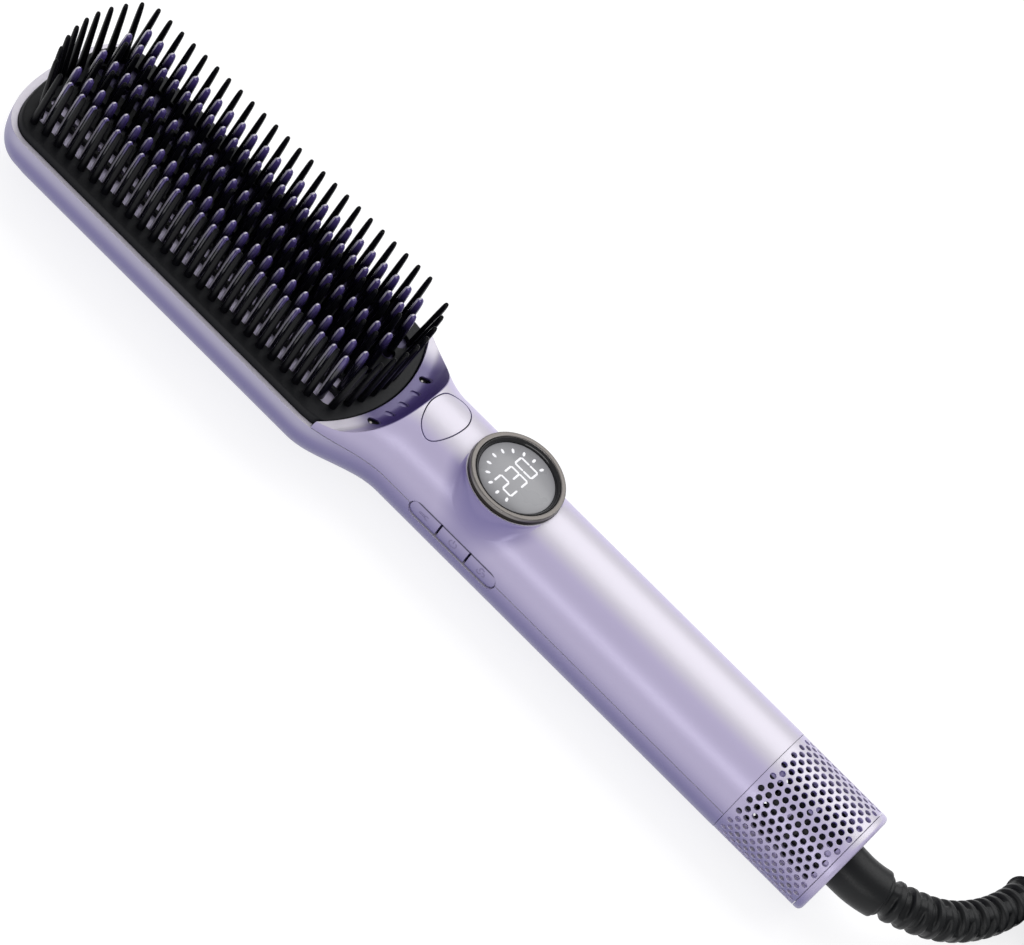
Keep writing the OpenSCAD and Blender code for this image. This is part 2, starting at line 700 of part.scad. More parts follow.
// Jacket end in the gland and two wires along the bottom of the handle to the board
module supply_leads() {
    color("#3c3c42") rod_x(tail_shift + 139, tail_shift + 158.5, 3.5);
    for (s = [-1, 1]) color(s < 0 ? "#6b4a2c" : "#3a5fa0")
        tube([[tail_shift + 139, s*1.4, 18], [tail_shift + 135, s*1.6, 17.4], [tail_shift + 129, s*3.2, 12],
            [tail_shift + 123, s*5, 6], [tail_shift + 116, s*5, 4], [tail_shift + 66, s*5, 3.9],
            [head_shift + 56, s*5.2, 4], [head_shift + 49, s*3.6, 5.4], [head_shift + 44, s*3, 7.1]],
            [[-1, 0, -0.15], [-1, 0, 0.3]], 0.9, 8);
}

// Tail frame: collar in the handle, spigot for the cap, and three legs to the gland
module tail_frame() {
    x_leg = tail_shift + 118;
    color(black) difference() {
        union() {
            ring_x(x_leg, seam_x - 0.1, sleeve_r, 14);
            ring_x(x_leg, seam_x + 5, 15.2, 14);
            for (a = [0, 120, 240]) translate([0, 0, axis_z]) rotate([a, 0, 0])
                profile_leg();
            rod_x(tail_shift + 137, end_x, gland_r - 3);
            rod_x(end_x - 8, end_x, gland_r);
        }
        rod_x(tail_shift + 130, end_x + 1, 3.5);
        block(x_leg - 1, seam_x + 6, -6.2, 6.2, 1, 7);
    }
}
module profile_leg() {
    rotate([90, 0, 0]) linear_extrude(1.6, center = true)
        polygon([[tail_shift + 118, 13.8], [tail_shift + 118, 15], [seam_x + 5, 15], [tail_shift + 141, 3.2],
            [tail_shift + 137, 3.2], [seam_x + 2, 13.8]]);
}

// Inlet cap: perforated sleeve, cage and mesh behind it, and the end plate
module inlet_grille() {
    rings = 2*floor((cap_groove_x - seam_x - 2)/hole_step);
    color(lilac) difference() {
        ring_x(seam_x + 0.1, cap_groove_x, cap_r, cap_bore);
        for (j = [0:rings - 1], k = [0:holes_round - 1])
            translate([seam_x + 2.4 + j*hole_step/2, 0, axis_z])
                rotate([360*(k + (j % 2)/2)/holes_round, 0, 0])
                translate([0, 0, cap_bore - 1]) cylinder(h = 3, d = hole_d, $fn = 16);
    }
}
module filter_cage() {
    color(lilac) difference() {
        ring_x(seam_x + 0.6, cap_groove_x + 0.2, cap_bore - 0.1, 15.7);
        for (a = [0:45:359], x = [seam_x + 5, seam_x + 18])
            translate([x, 0, axis_z]) rotate([a + 22, 0, 0]) translate([0, -4.8, 14])
                cube([11, 9.6, 5]);
    }
}
module filter_mesh() {
    color("#9a9aa0") ring_x(seam_x + 6.5, cap_groove_x + 0.6, 15.65, 15.35);
}
module cap_end() {
    color(lilac) translate([cap_groove_x, 0, axis_z]) rotate([0, 90, 0]) rotate_extrude()
        polygon([[gland_r + 0.5, 0.6], [16, 0.6], [16, 0.2], [cap_r, 0.2], [cap_r, 1.9], [cap_r - 0.8, 2.7],
            [gland_r + 1, 2.7], [gland_r + 0.5, 2.2]]);
}

module shell_screws() {
    color("#55555b") for (p = shell_screw_spots) {
        difference() {
            post(p[0], p[1], p[2] - 1.8, p[2], 2.6);
            translate([0, 0, p[2] - 2]) for (a = [0, 90]) translate([p[0], p[1], 0]) rotate(a)
                translate([-1.6, -0.35, 0]) cube([3.2, 0.7, 1.1]);
        }
        post(p[0], p[1], p[2] - 0.1, p[3] - 0.5, 1.25);
    }
}

// Cord, from the gland to the plug
module cord_boot() {
    color(black) tube(shifted(boot_route, tail_shift), [[1, 0, 0], boot_end], boot_radii, 24);
}
module strain_relief() {
    route = shifted(relief_route, tail_shift);
    spans = len(route) - 1;
    rings = 2*relief_ribs;
    // Point of the route at the fraction t of its spans
    function at(t) =
        let (i = min(floor(t*spans), spans - 1)) blend(route[i], route[i + 1], t*spans - i);
    centres = [for (i = [0:rings]) at(i/rings)];
    color(black) loft([for (i = [0:rings])
        tube_ring(centres[i], route_dir(centres, i, [boot_end, lead_start]),
            (i % 2 == 0 ? 4.9 : 6.3) - 0.7*i/rings, 8)]);
}
module power_cord() {
    color(black) tube(shifted(lead_route, tail_shift), [lead_start, [0, 1, 0]], cord_r, cord_sides);
}

// Two flat spirals, one on the other: in on the lower one, up in the half turn inside, out on the other
all_turns = 2*coil_turns;
function coil_radius(t) = coil_r - coil_pitch*(coil_turns - abs(t - coil_turns));
function coil_height(t) = cord_r + coil_pitch*smooth(t - coil_turns + 0.5);
function coil_point(t) = [coil_x + tail_shift + coil_radius(t)*cos(180 - 360*t),
    coil_y + coil_radius(t)*sin(180 - 360*t), coil_height(t)];
coil_steps = round(all_turns*coil_rings);
coil_points = [for (i = [0:coil_steps]) coil_point(i/coil_rings)];
coil_gap = min([for (i = [0:coil_steps], j = [i + coil_rings/2:coil_steps])
    norm(coil_points[i] - coil_points[j])]) - cord_d;
coil_length = [for (i = 0, sum = 0; i <= coil_steps; i = i + 1,
    sum = sum + (i <= coil_steps ? norm(coil_points[i] - coil_points[i - 1]) : 0)) sum][coil_steps];
module cord_coil() {
    echo(least_gap_of_coil = coil_gap, length_of_coil = coil_length);
    color(black) loft([for (i = [0:coil_steps])
        tube_ring(coil_points[i], route_dir(coil_points, i, [[0, 1, 0], [0, -1, 0]]), cord_r, 6)]);
}
module cord_tail() {
    color(black) tube(shifted(tail_route, tail_shift), [[0, -1, 0], [0, -1, 0]], cord_r, cord_sides);
}

// Moulded plug lying on its side, with two round pins
module plug_body() {
    color(black) translate([plug_x + tail_shift, 0, 0]) difference() {
        hull() {
            for (s = [-1, 1], z = [4, 18]) translate([s*11, 0, z]) rotate([90, 0, 0])
                translate([0, 0, -12]) cylinder(h = 12 - plug_face_y, r = 4, $fn = 32);
            translate([0, 30, plug_z]) rotate([90, 0, 0]) cylinder(h = 6, r = 6.5, $fn = 32);
        }
        for (s = [-1, 1]) translate([s*pin_spacing/2, plug_face_y - 1, plug_z]) rotate([-90, 0, 0])
            cylinder(h = 9, r = pin_r - 0.6);
    }
}
module plug_pins() {
    color("silver") for (s = [-1, 1])
        translate([plug_x + tail_shift + s*pin_spacing/2, 0, plug_z]) rotate([90, 0, 0]) {
            translate([0, 0, -plug_face_y - 8]) cylinder(h = 9, r = pin_r - 0.6);
            translate([0, 0, -plug_face_y]) cylinder(h = pin_len - 1, r = pin_r);
            translate([0, 0, -plug_face_y + pin_len - 1]) cylinder(h = 1, r1 = pin_r, r2 = pin_r - 0.8);
        }
}

lower_shell();
upper_cover();
bristle_base();
heated_plate();
heater_strip();
heater_clamp();
thermal_fuse();
temperature_sensor();
plate_screws();
air_duct();
heater_sleeve();
heater_frame();
heater_coil();
main_board();
ion_generator();
ion_emitters();
display_board();
display_holder();
display_surround();
display_lens();
display_bezel();
temperature_button();
power_button();
fan_button();
button_board();
cool_button();
cool_switch();
motor_sleeve();
fan_housing();
motor_stator();
motor_bearings();
motor_rotor();
impeller();
supply_leads();
tail_frame();
inlet_grille();
filter_cage();
filter_mesh();
cap_end();
shell_screws();
cord_boot();
strain_relief();
power_cord();
cord_coil();
cord_tail();
plug_body();
plug_pins();
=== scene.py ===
# The look of the hot air straightening brush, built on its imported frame.
# Settings are in millimetres and degrees, and every mesh is made in metres.
import math

import bmesh
import bpy
from mathutils import Matrix, Vector


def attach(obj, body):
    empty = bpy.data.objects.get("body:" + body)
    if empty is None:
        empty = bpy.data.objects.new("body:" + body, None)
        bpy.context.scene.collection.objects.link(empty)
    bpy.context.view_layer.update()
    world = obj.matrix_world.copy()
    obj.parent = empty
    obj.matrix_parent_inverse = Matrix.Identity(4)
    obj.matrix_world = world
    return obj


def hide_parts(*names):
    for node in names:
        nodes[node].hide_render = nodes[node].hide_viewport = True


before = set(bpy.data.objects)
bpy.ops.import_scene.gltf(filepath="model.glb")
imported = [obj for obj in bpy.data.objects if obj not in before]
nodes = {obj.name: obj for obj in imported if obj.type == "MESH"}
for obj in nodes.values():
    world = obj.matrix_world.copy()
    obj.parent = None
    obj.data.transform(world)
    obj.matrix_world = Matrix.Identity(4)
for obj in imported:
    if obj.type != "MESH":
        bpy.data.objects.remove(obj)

scene = bpy.context.scene
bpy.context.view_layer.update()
milli = 0.001
weld = 0.002  # points of a mesh closer than this become one
print("frame loaded")


# Small tools

def linearColour(hexCode):
    parts = [int(hexCode[i:i + 2], 16)/255 for i in (1, 3, 5)]
    return [c/12.92 if c <= 0.04045 else ((c + 0.055)/1.055)**2.4 for c in parts] + [1]


def mix(a, b, t):
    return a + (b - a)*t


def smooth(t):
    u = min(max(t, 0), 1)
    return u*u*(3 - 2*u)


def sinD(angle):
    return math.sin(math.radians(angle))


def cosD(angle):
    return math.cos(math.radians(angle))


def steps(count):
    return [i/count for i in range(count + 1)]


def fullTurn(count):  # angles that share out a full turn
    return [360*k/count for k in range(count)]


def addNode(tree, kind, inputs=None, **settings):
    node = tree.nodes.new(kind)
    for key, value in settings.items():
        setattr(node, key, value)
    for key, value in (inputs or {}).items():
        if isinstance(value, bpy.types.NodeSocket):
            tree.links.new(value, node.inputs[key])
        else:
            node.inputs[key].default_value = value
    return node


def newObject(name, mesh):
    obj = bpy.data.objects.new(name, mesh)
    scene.collection.objects.link(obj)
    return obj


def welded(mesh, distance):  # points closer than this become one, and faces point outwards
    shape = bmesh.new()
    shape.from_mesh(mesh)
    bmesh.ops.remove_doubles(shape, verts=shape.verts, dist=distance*milli)
    bmesh.ops.recalc_face_normals(shape, faces=shape.faces)
    shape.to_mesh(mesh)
    shape.free()
    return mesh


def placement(right, up, back, spot):  # from three directions and a place
    return Matrix([[right[i], up[i], back[i], spot[i]] for i in range(3)] + [[0, 0, 0, 1]])


def meshOf(name, points, faces):
    mesh = bpy.data.meshes.new(name)
    mesh.from_pydata([Vector(p)*milli for p in points], [], faces)
    return welded(mesh, weld)


def tubeFaces(rows, columns):  # skin between rings that follow each other
    faces = []
    for j in range(rows - 1):
        for i in range(columns):
            k = (i + 1) % columns
            faces.append((j*columns + i, (j + 1)*columns + i, (j + 1)*columns + k, j*columns + k))
    return faces


def turnedFaces(rows, columns):  # skin of closed profiles, the last of which meets the first
    faces = []
    for k in range(rows):
        following = (k + 1) % rows
        for i in range(columns):
            j = (i + 1) % columns
            faces.append((k*columns + i, k*columns + j, following*columns + j, following*columns + i))
    return faces


def loft(name, rings):  # closed solid through rings of equal length
    columns = len(rings[0])
    faces = tubeFaces(len(rings), columns)
    faces.append(tuple(range(columns)))
    faces.append(tuple((len(rings) - 1)*columns + i for i in range(columns)))
    return newObject(name, meshOf(name, [p for ring in rings for p in ring], faces))


def lathe(name, profile, centre, segments, lying=False):  # radius and height round an upright or lying line
    rings = []
    for turn in fullTurn(segments):
        c, s = cosD(turn), sinD(turn)
        if lying:
            rings.append([(h, centre[0] + r*c, centre[1] + r*s) for r, h in profile])
        else:
            rings.append([(centre[0] + r*c, centre[1] + r*s, h) for r, h in profile])
    faces = turnedFaces(segments, len(profile))
    return newObject(name, meshOf(name, [p for ring in rings for p in ring], faces))


def prism(name, outline, z0, z1):
    return loft(name, [[(x, y, z) for x, y in outline] for z in (z0, z1)])


def joined(name, parts):
    points, faces = [], []
    for part in parts:
        first = len(points)
        points += [v.co/milli for v in part.data.vertices]
        faces += [[first + i for i in p.vertices] for p in part.data.polygons]
        bpy.data.objects.remove(part)
    return newObject(name, meshOf(name, points, faces))


def settled(obj):  # the object's modifiers become its mesh
    graph = bpy.context.evaluated_depsgraph_get()
    mesh = bpy.data.meshes.new_from_object(obj.evaluated_get(graph), depsgraph=graph)
    obj.modifiers.clear()
    obj.data = mesh
    return obj


def combined(obj, tools, operation="DIFFERENCE"):  # the tools are used up
    for tool in tools:
        cut = obj.modifiers.new("cut", "BOOLEAN")
        cut.operation = operation
        cut.solver = "MANIFOLD"
        cut.object = tool
    settled(obj)
    for tool in tools:
        bpy.data.objects.remove(tool)
    return obj


def shaded(obj, angle=30):
    obj.data.shade_smooth()
    obj.data.set_sharp_from_angle(angle=math.radians(angle))
    return obj


def placed(obj, material, body, replaced=()):
    obj.data.materials.clear()
    obj.data.materials.append(material)
    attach(obj, body)
    if replaced:
        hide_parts(*replaced)
    return obj


def between(a, b, c, d, t):  # point of a smooth line from b to c, with its neighbours a and d
    return 0.5*(2*b + (c - a)*t + (2*a - 5*b + 4*c - d)*t*t + (3*b - a - 3*c + d)*t**3)


def curveThrough(points, count, startDirection, endDirection):
    # Smooth line through the points, count steps in each span
    pts = [Vector(p) for p in points]
    before = pts[0] - Vector(startDirection).normalized()*(pts[1] - pts[0]).length
    after = pts[-1] + Vector(endDirection).normalized()*(pts[-1] - pts[-2]).length
    line = [before] + pts + [after]
    out = []
    for i in range(1, len(line) - 2):
        out += [between(*line[i - 1:i + 3], t) for t in steps(count)[:-1]]
    return out + [pts[-1]]


def lengthOf(line):
    return sum((b - a).length for a, b in zip(line, line[1:]))


def tubeRings(line, radii, sides):
    rings = []
    for i, centre in enumerate(line):
        direction = (line[min(i + 1, len(line) - 1)] - line[max(i - 1, 0)]).normalized()
        side = Vector((0, 0, 1)).cross(direction).normalized()
        top = direction.cross(side)
        rings.append([tuple(centre + radii[i]*(cosD(turn)*side + sinD(turn)*top))
            for turn in fullTurn(sides)])
    return rings


def newMaterial(name):
    material = bpy.data.materials.new(name)
    material.use_nodes = True
    material.node_tree.nodes.clear()
    return material, material.node_tree


def newTree(name, sockets):
    tree = bpy.data.node_groups.new(name, "GeometryNodeTree")
    tree.interface.new_socket("Geometry", in_out="INPUT", socket_type="NodeSocketGeometry")
    for label, kind, value in sockets:
        socket = tree.interface.new_socket(label, in_out="INPUT", socket_type="NodeSocket" + kind)
        socket.default_value = value
    tree.interface.new_socket("Geometry", in_out="OUTPUT", socket_type="NodeSocketGeometry")
    return tree, addNode(tree, "NodeGroupInput").outputs


def finishTree(tree, geometry, material):
    real = addNode(tree, "GeometryNodeRealizeInstances", {0: geometry})
    painted = addNode(tree, "GeometryNodeSetMaterial", {0: real.outputs[0], "Material": material})
    addNode(tree, "NodeGroupOutput", {0: painted.outputs[0]})


def runTree(name, tree, mesh, values):
    obj = newObject(name, mesh)
    modifier = obj.modifiers.new("nodes", "NODES")
    modifier.node_group = tree
    for item in tree.interface.items_tree:
        if item.in_out == "INPUT" and item.name in values:
            modifier[item.identifier] = values[item.name]
    return settled(obj)


# Camera, found from the photograph: the aim, three turns and the distance

cameraPlace = {"aim": (17.13, 0, 36.70), "turn": 8.606, "rise": 47.378, "roll": 38.377, "distance": 1301,
    "focalPixels": 4673.5, "imageWidth": 1024, "sensor": 36, "near": 50, "far": 20000}


def addCamera(place):
    away = Vector((cosD(place["rise"])*sinD(place["turn"]), -cosD(place["rise"])*cosD(place["turn"]),
        sinD(place["rise"])))
    level = Vector((cosD(place["turn"]), sinD(place["turn"]), 0))
    upright = away.cross(level)
    right = cosD(place["roll"])*level + sinD(place["roll"])*upright
    up = away.cross(right)
    data = bpy.data.cameras.new("camera")
    data.sensor_width = place["sensor"]
    data.lens = place["focalPixels"]*place["sensor"]/place["imageWidth"]
    data.clip_start = place["near"]*milli
    data.clip_end = place["far"]*milli
    camera = newObject("camera", data)
    spot = (Vector(place["aim"]) + place["distance"]*away)*milli
    camera.matrix_world = placement(right, up, away, spot)
    scene.camera = camera


addCamera(cameraPlace)
scene.view_settings.view_transform = "Standard"
print("camera placed")


# Main measures of the body, which its paint follows too

body = {"tipX": -159, "seamX": 125.5, "headWidth": 57, "lipZ": 22, "handleRadius": 18, "axisZ": 18,
    "tipLength": 15, "tipPower": 2.5, "tipStart": 3, "tipCrowding": 1.2, "riseLength": 17, "risePower": 2.6,
    "noseHeight": 5, "padSink": 0.4, "neckStart": -36, "neckEnd": -8, "headPower": 2.4, "headWall": 2.4,
    "handleWall": 1.8, "seamGap": 0.12, "arcSteps": 72, "tipSteps": 22, "neckSteps": 28, "spanStep": 6}
scoop = {"centreX": -70, "bedRadius": 47.6, "bedGap": 0.2, "floorRadius": 50, "wallWidth": 6.4,
    "floorZ": 24.8, "rimZ": 36, "floorWall": 1.6, "sides": 256, "ventRadius": 50.4, "ventShift": 0.6,
    "ventAngles": (-14.2, -7, 0, 7, 14.2), "ventLength": 3.8, "ventWidth": 2.3, "ventTurn": 28,
    "ventDepth": 1.3, "dimpleLength": 2.9, "dimpleWidth": 1.7, "dimple": 0.35, "wallSteps": 20}
display = {"x": 19.2, "radius": 14.7, "footZ": 35.4, "topZ": 37.9, "lensZ": 36.6, "lensRadius": 11.8,
    "ringBore": 13, "surroundRadius": 12.9, "round": 0.55, "lensRound": 0.12, "sides": 192,
    "holderRadius": 13.9, "holderGap": 0.2, "ringGap": 0.1, "roundSteps": 6, "surroundGap": 0.1,
    "surroundEdge": [(0, 0.3), (0.1, 0.2), (0.25, 0.25)]}


# Finishes. Each starts from what the real piece is made of

# Pearl painted ABS: soft wide highlights, with a fine glitter that breaks them up
pearlPaint = {"light": "#c9c0e2", "dark": "#bdb3d8", "patch": 55, "metallic": 0.2, "roughness": 0.4,
    "specular": 0.85, "grain": 0.45, "bump": 0.015, "coat": 0.3, "coatRoughness": 0.24, "edge": 0.3}
finishes = {
    # Over most pieces it carries a painted highlight on faces that look up and painted shade on faces that
    # look down
    "pearlPaintedAbs": pearlPaint,
    # On the cover with the scoop it takes a painted shade of deep violet in the hollow, and painted black in
    # the vents
    "pearlPaintedScoop": pearlPaint,
    # On the lower shell it has a painted highlight along the rounded lip of the head, and painted shade under
    # it
    "pearlPaintedLower": pearlPaint,
    # On the keys a dark line is painted as the shadow in the gap over them
    "pearlPaintedKeys": {**pearlPaint, "patch": 20},
    # The cage under the sleeve: pearl paint on its ribs, and painted shade in black where the holes of the
    # sleeve show dark
    "pearlPaintedCage": {"light": "#c9c0e2", "dark": "#bdb3d8", "patch": 20, "metallic": 0.2,
        "roughness": 0.5, "grain": 0.45, "bump": 0.015},
    # Spark eroded nylon: black, dull, with a fine pebble that takes the shine off
    "erodedBlackNylon": {"light": "#131419", "dark": "#0d0e11", "patch": 22, "metallic": 0, "roughness": 0.48,
        "specular": 0.22, "grain": 0.5, "bump": 0.05, "edge": 0.25},
    # Polished black nylon of the pins: a narrow bright line along each one
    "polishedBlackNylon": {"light": "#0b0b10", "dark": "#060608", "patch": 9, "metallic": 0, "roughness": 0.3,
        "specular": 0.13, "grain": 1.2, "bump": 0.02},
    # Violet ceramic coating on cast aluminium: deep glossy colour, bright on the rounded tips from its gloss
    # and from a painted highlight, with painted shade towards the foot
    "ceramicCoatedAluminium": {"light": "#5a4b90", "dark": "#433675", "patch": 12, "metallic": 0.3,
        "roughness": 0.22, "grain": 0.8, "bump": 0.03, "coat": 0.6, "coatRoughness": 0.08},
    # The same coating on the flat of the plate, as a paler satin whose pale colour is a painted highlight
    # where the slots show it
    "ceramicPlatePaintedLight": {"light": "#d6d0e4", "dark": "#b0a6c6", "patch": 6, "metallic": 0.3,
        "roughness": 0.38, "grain": 0.5, "bump": 0.05, "edge": 0.2},
    # Turned and anodised aluminium ring: taupe grey, with fine turning lines that stretch the shine
    "turnedGunmetal": {"light": "#8e8a88", "dark": "#6d6a69", "patch": 3, "metallic": 1, "roughness": 0.36,
        "grain": 0.35, "bump": 0.04, "edge": 0.15},
    # Gloss black ABS round the window
    "glossBlackAbs": {"light": "#15151a", "dark": "#0b0b0e", "patch": 8, "metallic": 0, "roughness": 0.14,
        "grain": 2, "bump": 0.01, "edge": 0.12},
    # Satin moulded rubber: nearly black, with a wide dim highlight
    "satinRubber": {"light": "#111316", "dark": "#0b0c0e", "patch": 14, "metallic": 0, "roughness": 0.4,
        "specular": 0.28, "grain": 0.6, "bump": 0.04},
    # Extruded PVC jacket of the cord: smooth, slightly glossier than the rubber
    "extrudedPvc": {"light": "#17181b", "dark": "#101114", "patch": 30, "metallic": 0, "roughness": 0.36,
        "grain": 1.5, "bump": 0.03},
    # Nickel plated brass of the pins of the plug
    "nickelPlate": {"light": "#cfcdc8", "dark": "#b9b6b0", "patch": 6, "metallic": 1, "roughness": 0.22,
        "grain": 0.6, "bump": 0.02, "edge": 0.2},
    # Zinc plated steel of screws, bearings and the clamp
    "zincPlatedSteel": {"light": "#a9abae", "dark": "#8f9195", "patch": 5, "metallic": 1, "roughness": 0.3,
        "grain": 0.6, "bump": 0.03, "edge": 0.1},
    # Brass blank of the sensors
    "brassCase": {"light": "#c9a658", "dark": "#b08c40", "patch": 4, "metallic": 1, "roughness": 0.3,
        "grain": 0.6, "bump": 0.02},
    # Resin dipped sensor: glossy and uneven
    "dippedResin": {"light": "#a8402f", "dark": "#8c3124", "patch": 3, "metallic": 0, "roughness": 0.25,
        "grain": 1, "bump": 0.05},
    # Pressed mica sheet: pale, layered and slightly shiny
    "pressedMica": {"light": "#d8cfb6", "dark": "#bdb294", "patch": 5, "metallic": 0, "roughness": 0.4,
        "grain": 0.7, "bump": 0.08},
    # Green solder mask over a glass fibre board
    "solderMask": {"light": "#2f7048", "dark": "#255a3a", "patch": 4, "metallic": 0, "roughness": 0.35,
        "grain": 0.5, "bump": 0.03},
    # Epoxy moulded modules
    "mouldedEpoxy": {"light": "#2b2b31", "dark": "#1e1e23", "patch": 6, "metallic": 0, "roughness": 0.5,
        "grain": 0.4, "bump": 0.05},
    # Glass filled nylon of the fan: cream white, faintly speckled
    "glassFilledNylon": {"light": "#e9e6dd", "dark": "#d8d4c8", "patch": 7, "metallic": 0, "roughness": 0.45,
        "grain": 0.5, "bump": 0.04},
    # Enamelled copper winding
    "enamelledCopper": {"light": "#b4632f", "dark": "#8d4a22", "patch": 2, "metallic": 0.8, "roughness": 0.3,
        "grain": 0.5, "bump": 0.15},
    # Woven steel filter: dark, with a fine sparkle
    "wovenSteel": {"light": "#37373d", "dark": "#1c1c20", "patch": 0.8, "metallic": 0.6, "roughness": 0.45,
        "grain": 0.5, "bump": 0.3},
    # Tinted glass of the display: an even grey with a soft sheen over it
    "tintedGlass": {"light": "#97979b", "dark": "#949498", "patch": 40, "metallic": 0, "roughness": 0.3,
        "specular": 0.4, "grain": 8, "bump": 0.003, "coat": 0.25, "coatRoughness": 0.15},
    # Pad printed ink of the signs on the keys: flat and a little darker than the paint
    "printedGrey": {"light": "#8f86b0", "dark": "#867da8", "patch": 3, "metallic": 0, "roughness": 0.4,
        "grain": 0.5, "bump": 0.01},
}
# How strongly the patches and the grain of every finish show
surface = {"patchDetail": 3, "grainDetail": 2, "grainLow": 0.3, "grainHigh": 0.7, "roughnessSpread": 0.12,
    "bumpGain": 4, "grainHeight": 0.25, "edgeSamples": 4, "coatRoughness": 0.03, "specular": 0.5}
# Light emitting segments of the display: soft white that doesn't glare
ledLook = {"light": "#ffffff", "dark": "#c9c9d2", "patch": 0.6, "roughness": 0.4, "strength": 0.22}


def finish(name, look, tint=None):
    material, tree = newMaterial(name)
    place = addNode(tree, "ShaderNodeTexCoord").outputs["Object"]
    # Slow change of colour over patches of the given size
    patches = addNode(tree, "ShaderNodeTexNoise", {"Vector": place, "Scale": 1/(look["patch"]*milli),
        "Detail": surface["patchDetail"], "Roughness": 0.5})
    colour = addNode(tree, "ShaderNodeMix", {0: patches.outputs["Fac"], "A": linearColour(look["dark"]),
        "B": linearColour(look["light"])}, data_type="RGBA").outputs["Result"]
    if tint:  # tints read places in millimetres
        spot = addNode(tree, "ShaderNodeVectorMath", {0: place, "Scale": 1/milli}, operation="SCALE")
        colour = tint(tree, spot.outputs[0], colour)
    # Grain of the surface, in roughness and height
    grain = addNode(tree, "ShaderNodeTexNoise", {"Vector": place, "Scale": 1/(look["grain"]*milli),
        "Detail": surface["grainDetail"]})
    roughness = addNode(tree, "ShaderNodeMapRange", {"Value": grain.outputs["Fac"],
        "From Min": surface["grainLow"], "From Max": surface["grainHigh"],
        "To Min": look["roughness"]*(1 - surface["roughnessSpread"]),
        "To Max": look["roughness"]*(1 + surface["roughnessSpread"])})
    bump = addNode(tree, "ShaderNodeBump", {"Height": grain.outputs["Fac"],
        "Strength": look["bump"]*surface["bumpGain"], "Distance": look["grain"]*milli*surface["grainHeight"]})
    if "edge" in look:  # moulded edges are slightly round
        edge = addNode(tree, "ShaderNodeBevel", {"Radius": look["edge"]*milli},
            samples=surface["edgeSamples"])
        tree.links.new(edge.outputs[0], bump.inputs["Normal"])
    shader = addNode(tree, "ShaderNodeBsdfPrincipled", {"Base Color": colour, "Metallic": look["metallic"],
        "Roughness": roughness.outputs["Result"], "Normal": bump.outputs["Normal"],
        "Coat Weight": look.get("coat", 0),
        "Coat Roughness": look.get("coatRoughness", surface["coatRoughness"]),
        "Specular IOR Level": look.get("specular", surface["specular"])})
    addNode(tree, "ShaderNodeOutputMaterial", {"Surface": shader.outputs[0]})
    return material


def glowing(name, look):
    material, tree = newMaterial(name)
    place = addNode(tree, "ShaderNodeTexCoord").outputs["Object"]
    spots = addNode(tree, "ShaderNodeTexNoise", {"Vector": place, "Scale": 1/(look["patch"]*milli)})
    colour = addNode(tree, "ShaderNodeMix", {0: spots.outputs["Fac"], "A": linearColour(look["dark"]),
        "B": linearColour(look["light"])}, data_type="RGBA").outputs["Result"]
    shader = addNode(tree, "ShaderNodeBsdfPrincipled", {"Base Color": colour, "Emission Color": colour,
        "Emission Strength": look["strength"], "Roughness": look["roughness"]})
    addNode(tree, "ShaderNodeOutputMaterial", {"Surface": shader.outputs[0]})
    return material


# Tints: where a finish turns darker, paler or deeper, which is mostly painted shade and painted highlight.
# Pairs are the ends of a soft change, in millimetres for a place and as a share of 1 for the way that a face
# looks

def painted(tree, colour, other, *shares):
    # Another colour over it where every share is high: a ready share, or a value with the ends of its change
    whole = None
    for share in shares:
        if isinstance(share, tuple):
            value, start, end = share
            share = addNode(tree, "ShaderNodeMapRange", {"Value": value, "From Min": start, "From Max": end},
                interpolation_type="SMOOTHSTEP").outputs[0]
        if whole is not None:
            share = addNode(tree, "ShaderNodeMath", {0: whole, 1: share}, operation="MULTIPLY").outputs[0]
        whole = share
    if isinstance(other, str):
        other = linearColour(other)
    return addNode(tree, "ShaderNodeMix", {0: whole, "A": colour, "B": other},
        data_type="RGBA").outputs["Result"]


def band(tree, value, low, high, soft, change="LINEAR"):  # 1 from low to high, and 0 outside
    off = addNode(tree, "ShaderNodeMath", {0: value, 1: (low + high)/2}, operation="SUBTRACT").outputs[0]
    size = addNode(tree, "ShaderNodeMath", {0: off}, operation="ABSOLUTE").outputs[0]
    return addNode(tree, "ShaderNodeMapRange", {"Value": size, "From Min": (high - low)/2,
        "From Max": (high - low)/2 - soft}, interpolation_type=change).outputs[0]


def fromUpright(tree, place, x):  # place and distance from an upright line
    off = addNode(tree, "ShaderNodeVectorMath", {0: place, 1: (x, 0, 0)}, operation="SUBTRACT").outputs[0]
    flat = addNode(tree, "ShaderNodeVectorMath", {0: off, 1: (1, 1, 0)}, operation="MULTIPLY").outputs[0]
    return off, addNode(tree, "ShaderNodeVectorMath", {0: flat}, operation="LENGTH").outputs["Value"]


# Painted light by the way a face looks: a paler painted highlight on faces that look up, deeper painted shade
# on faces that look down
faceLightPaint = {"top": "#d3cedb", "topHighlightFacing": (0.84, 0.97), "under": "#5c529c", "underShadeFacing": (0.35, -0.4)}


def topHighlightUnderShade(tree, place, colour):  # paler on top, and deeper where a face looks down
    facing = addNode(tree, "ShaderNodeNewGeometry").outputs["Normal"]
    up = addNode(tree, "ShaderNodeSeparateXYZ", {0: facing}).outputs["Z"]
    colour = painted(tree, colour, faceLightPaint["top"], (up, *faceLightPaint["topHighlightFacing"]))
    return painted(tree, colour, faceLightPaint["under"], (up, *faceLightPaint["underShadeFacing"]))


# Painted light on the head of the lower shell: a pale painted highlight along the lip, painted shade in
# violet under it, and a mid violet towards the tip
lipLightPaint = {"headX": (-12, -40), "lip": "#f3effc", "lipZ": (15.5, 19.5), "under": "#877cba",
    "underShadeZ": (16.5, 11.5), "tip": "#a198cc", "tipX": (-146, -156)}


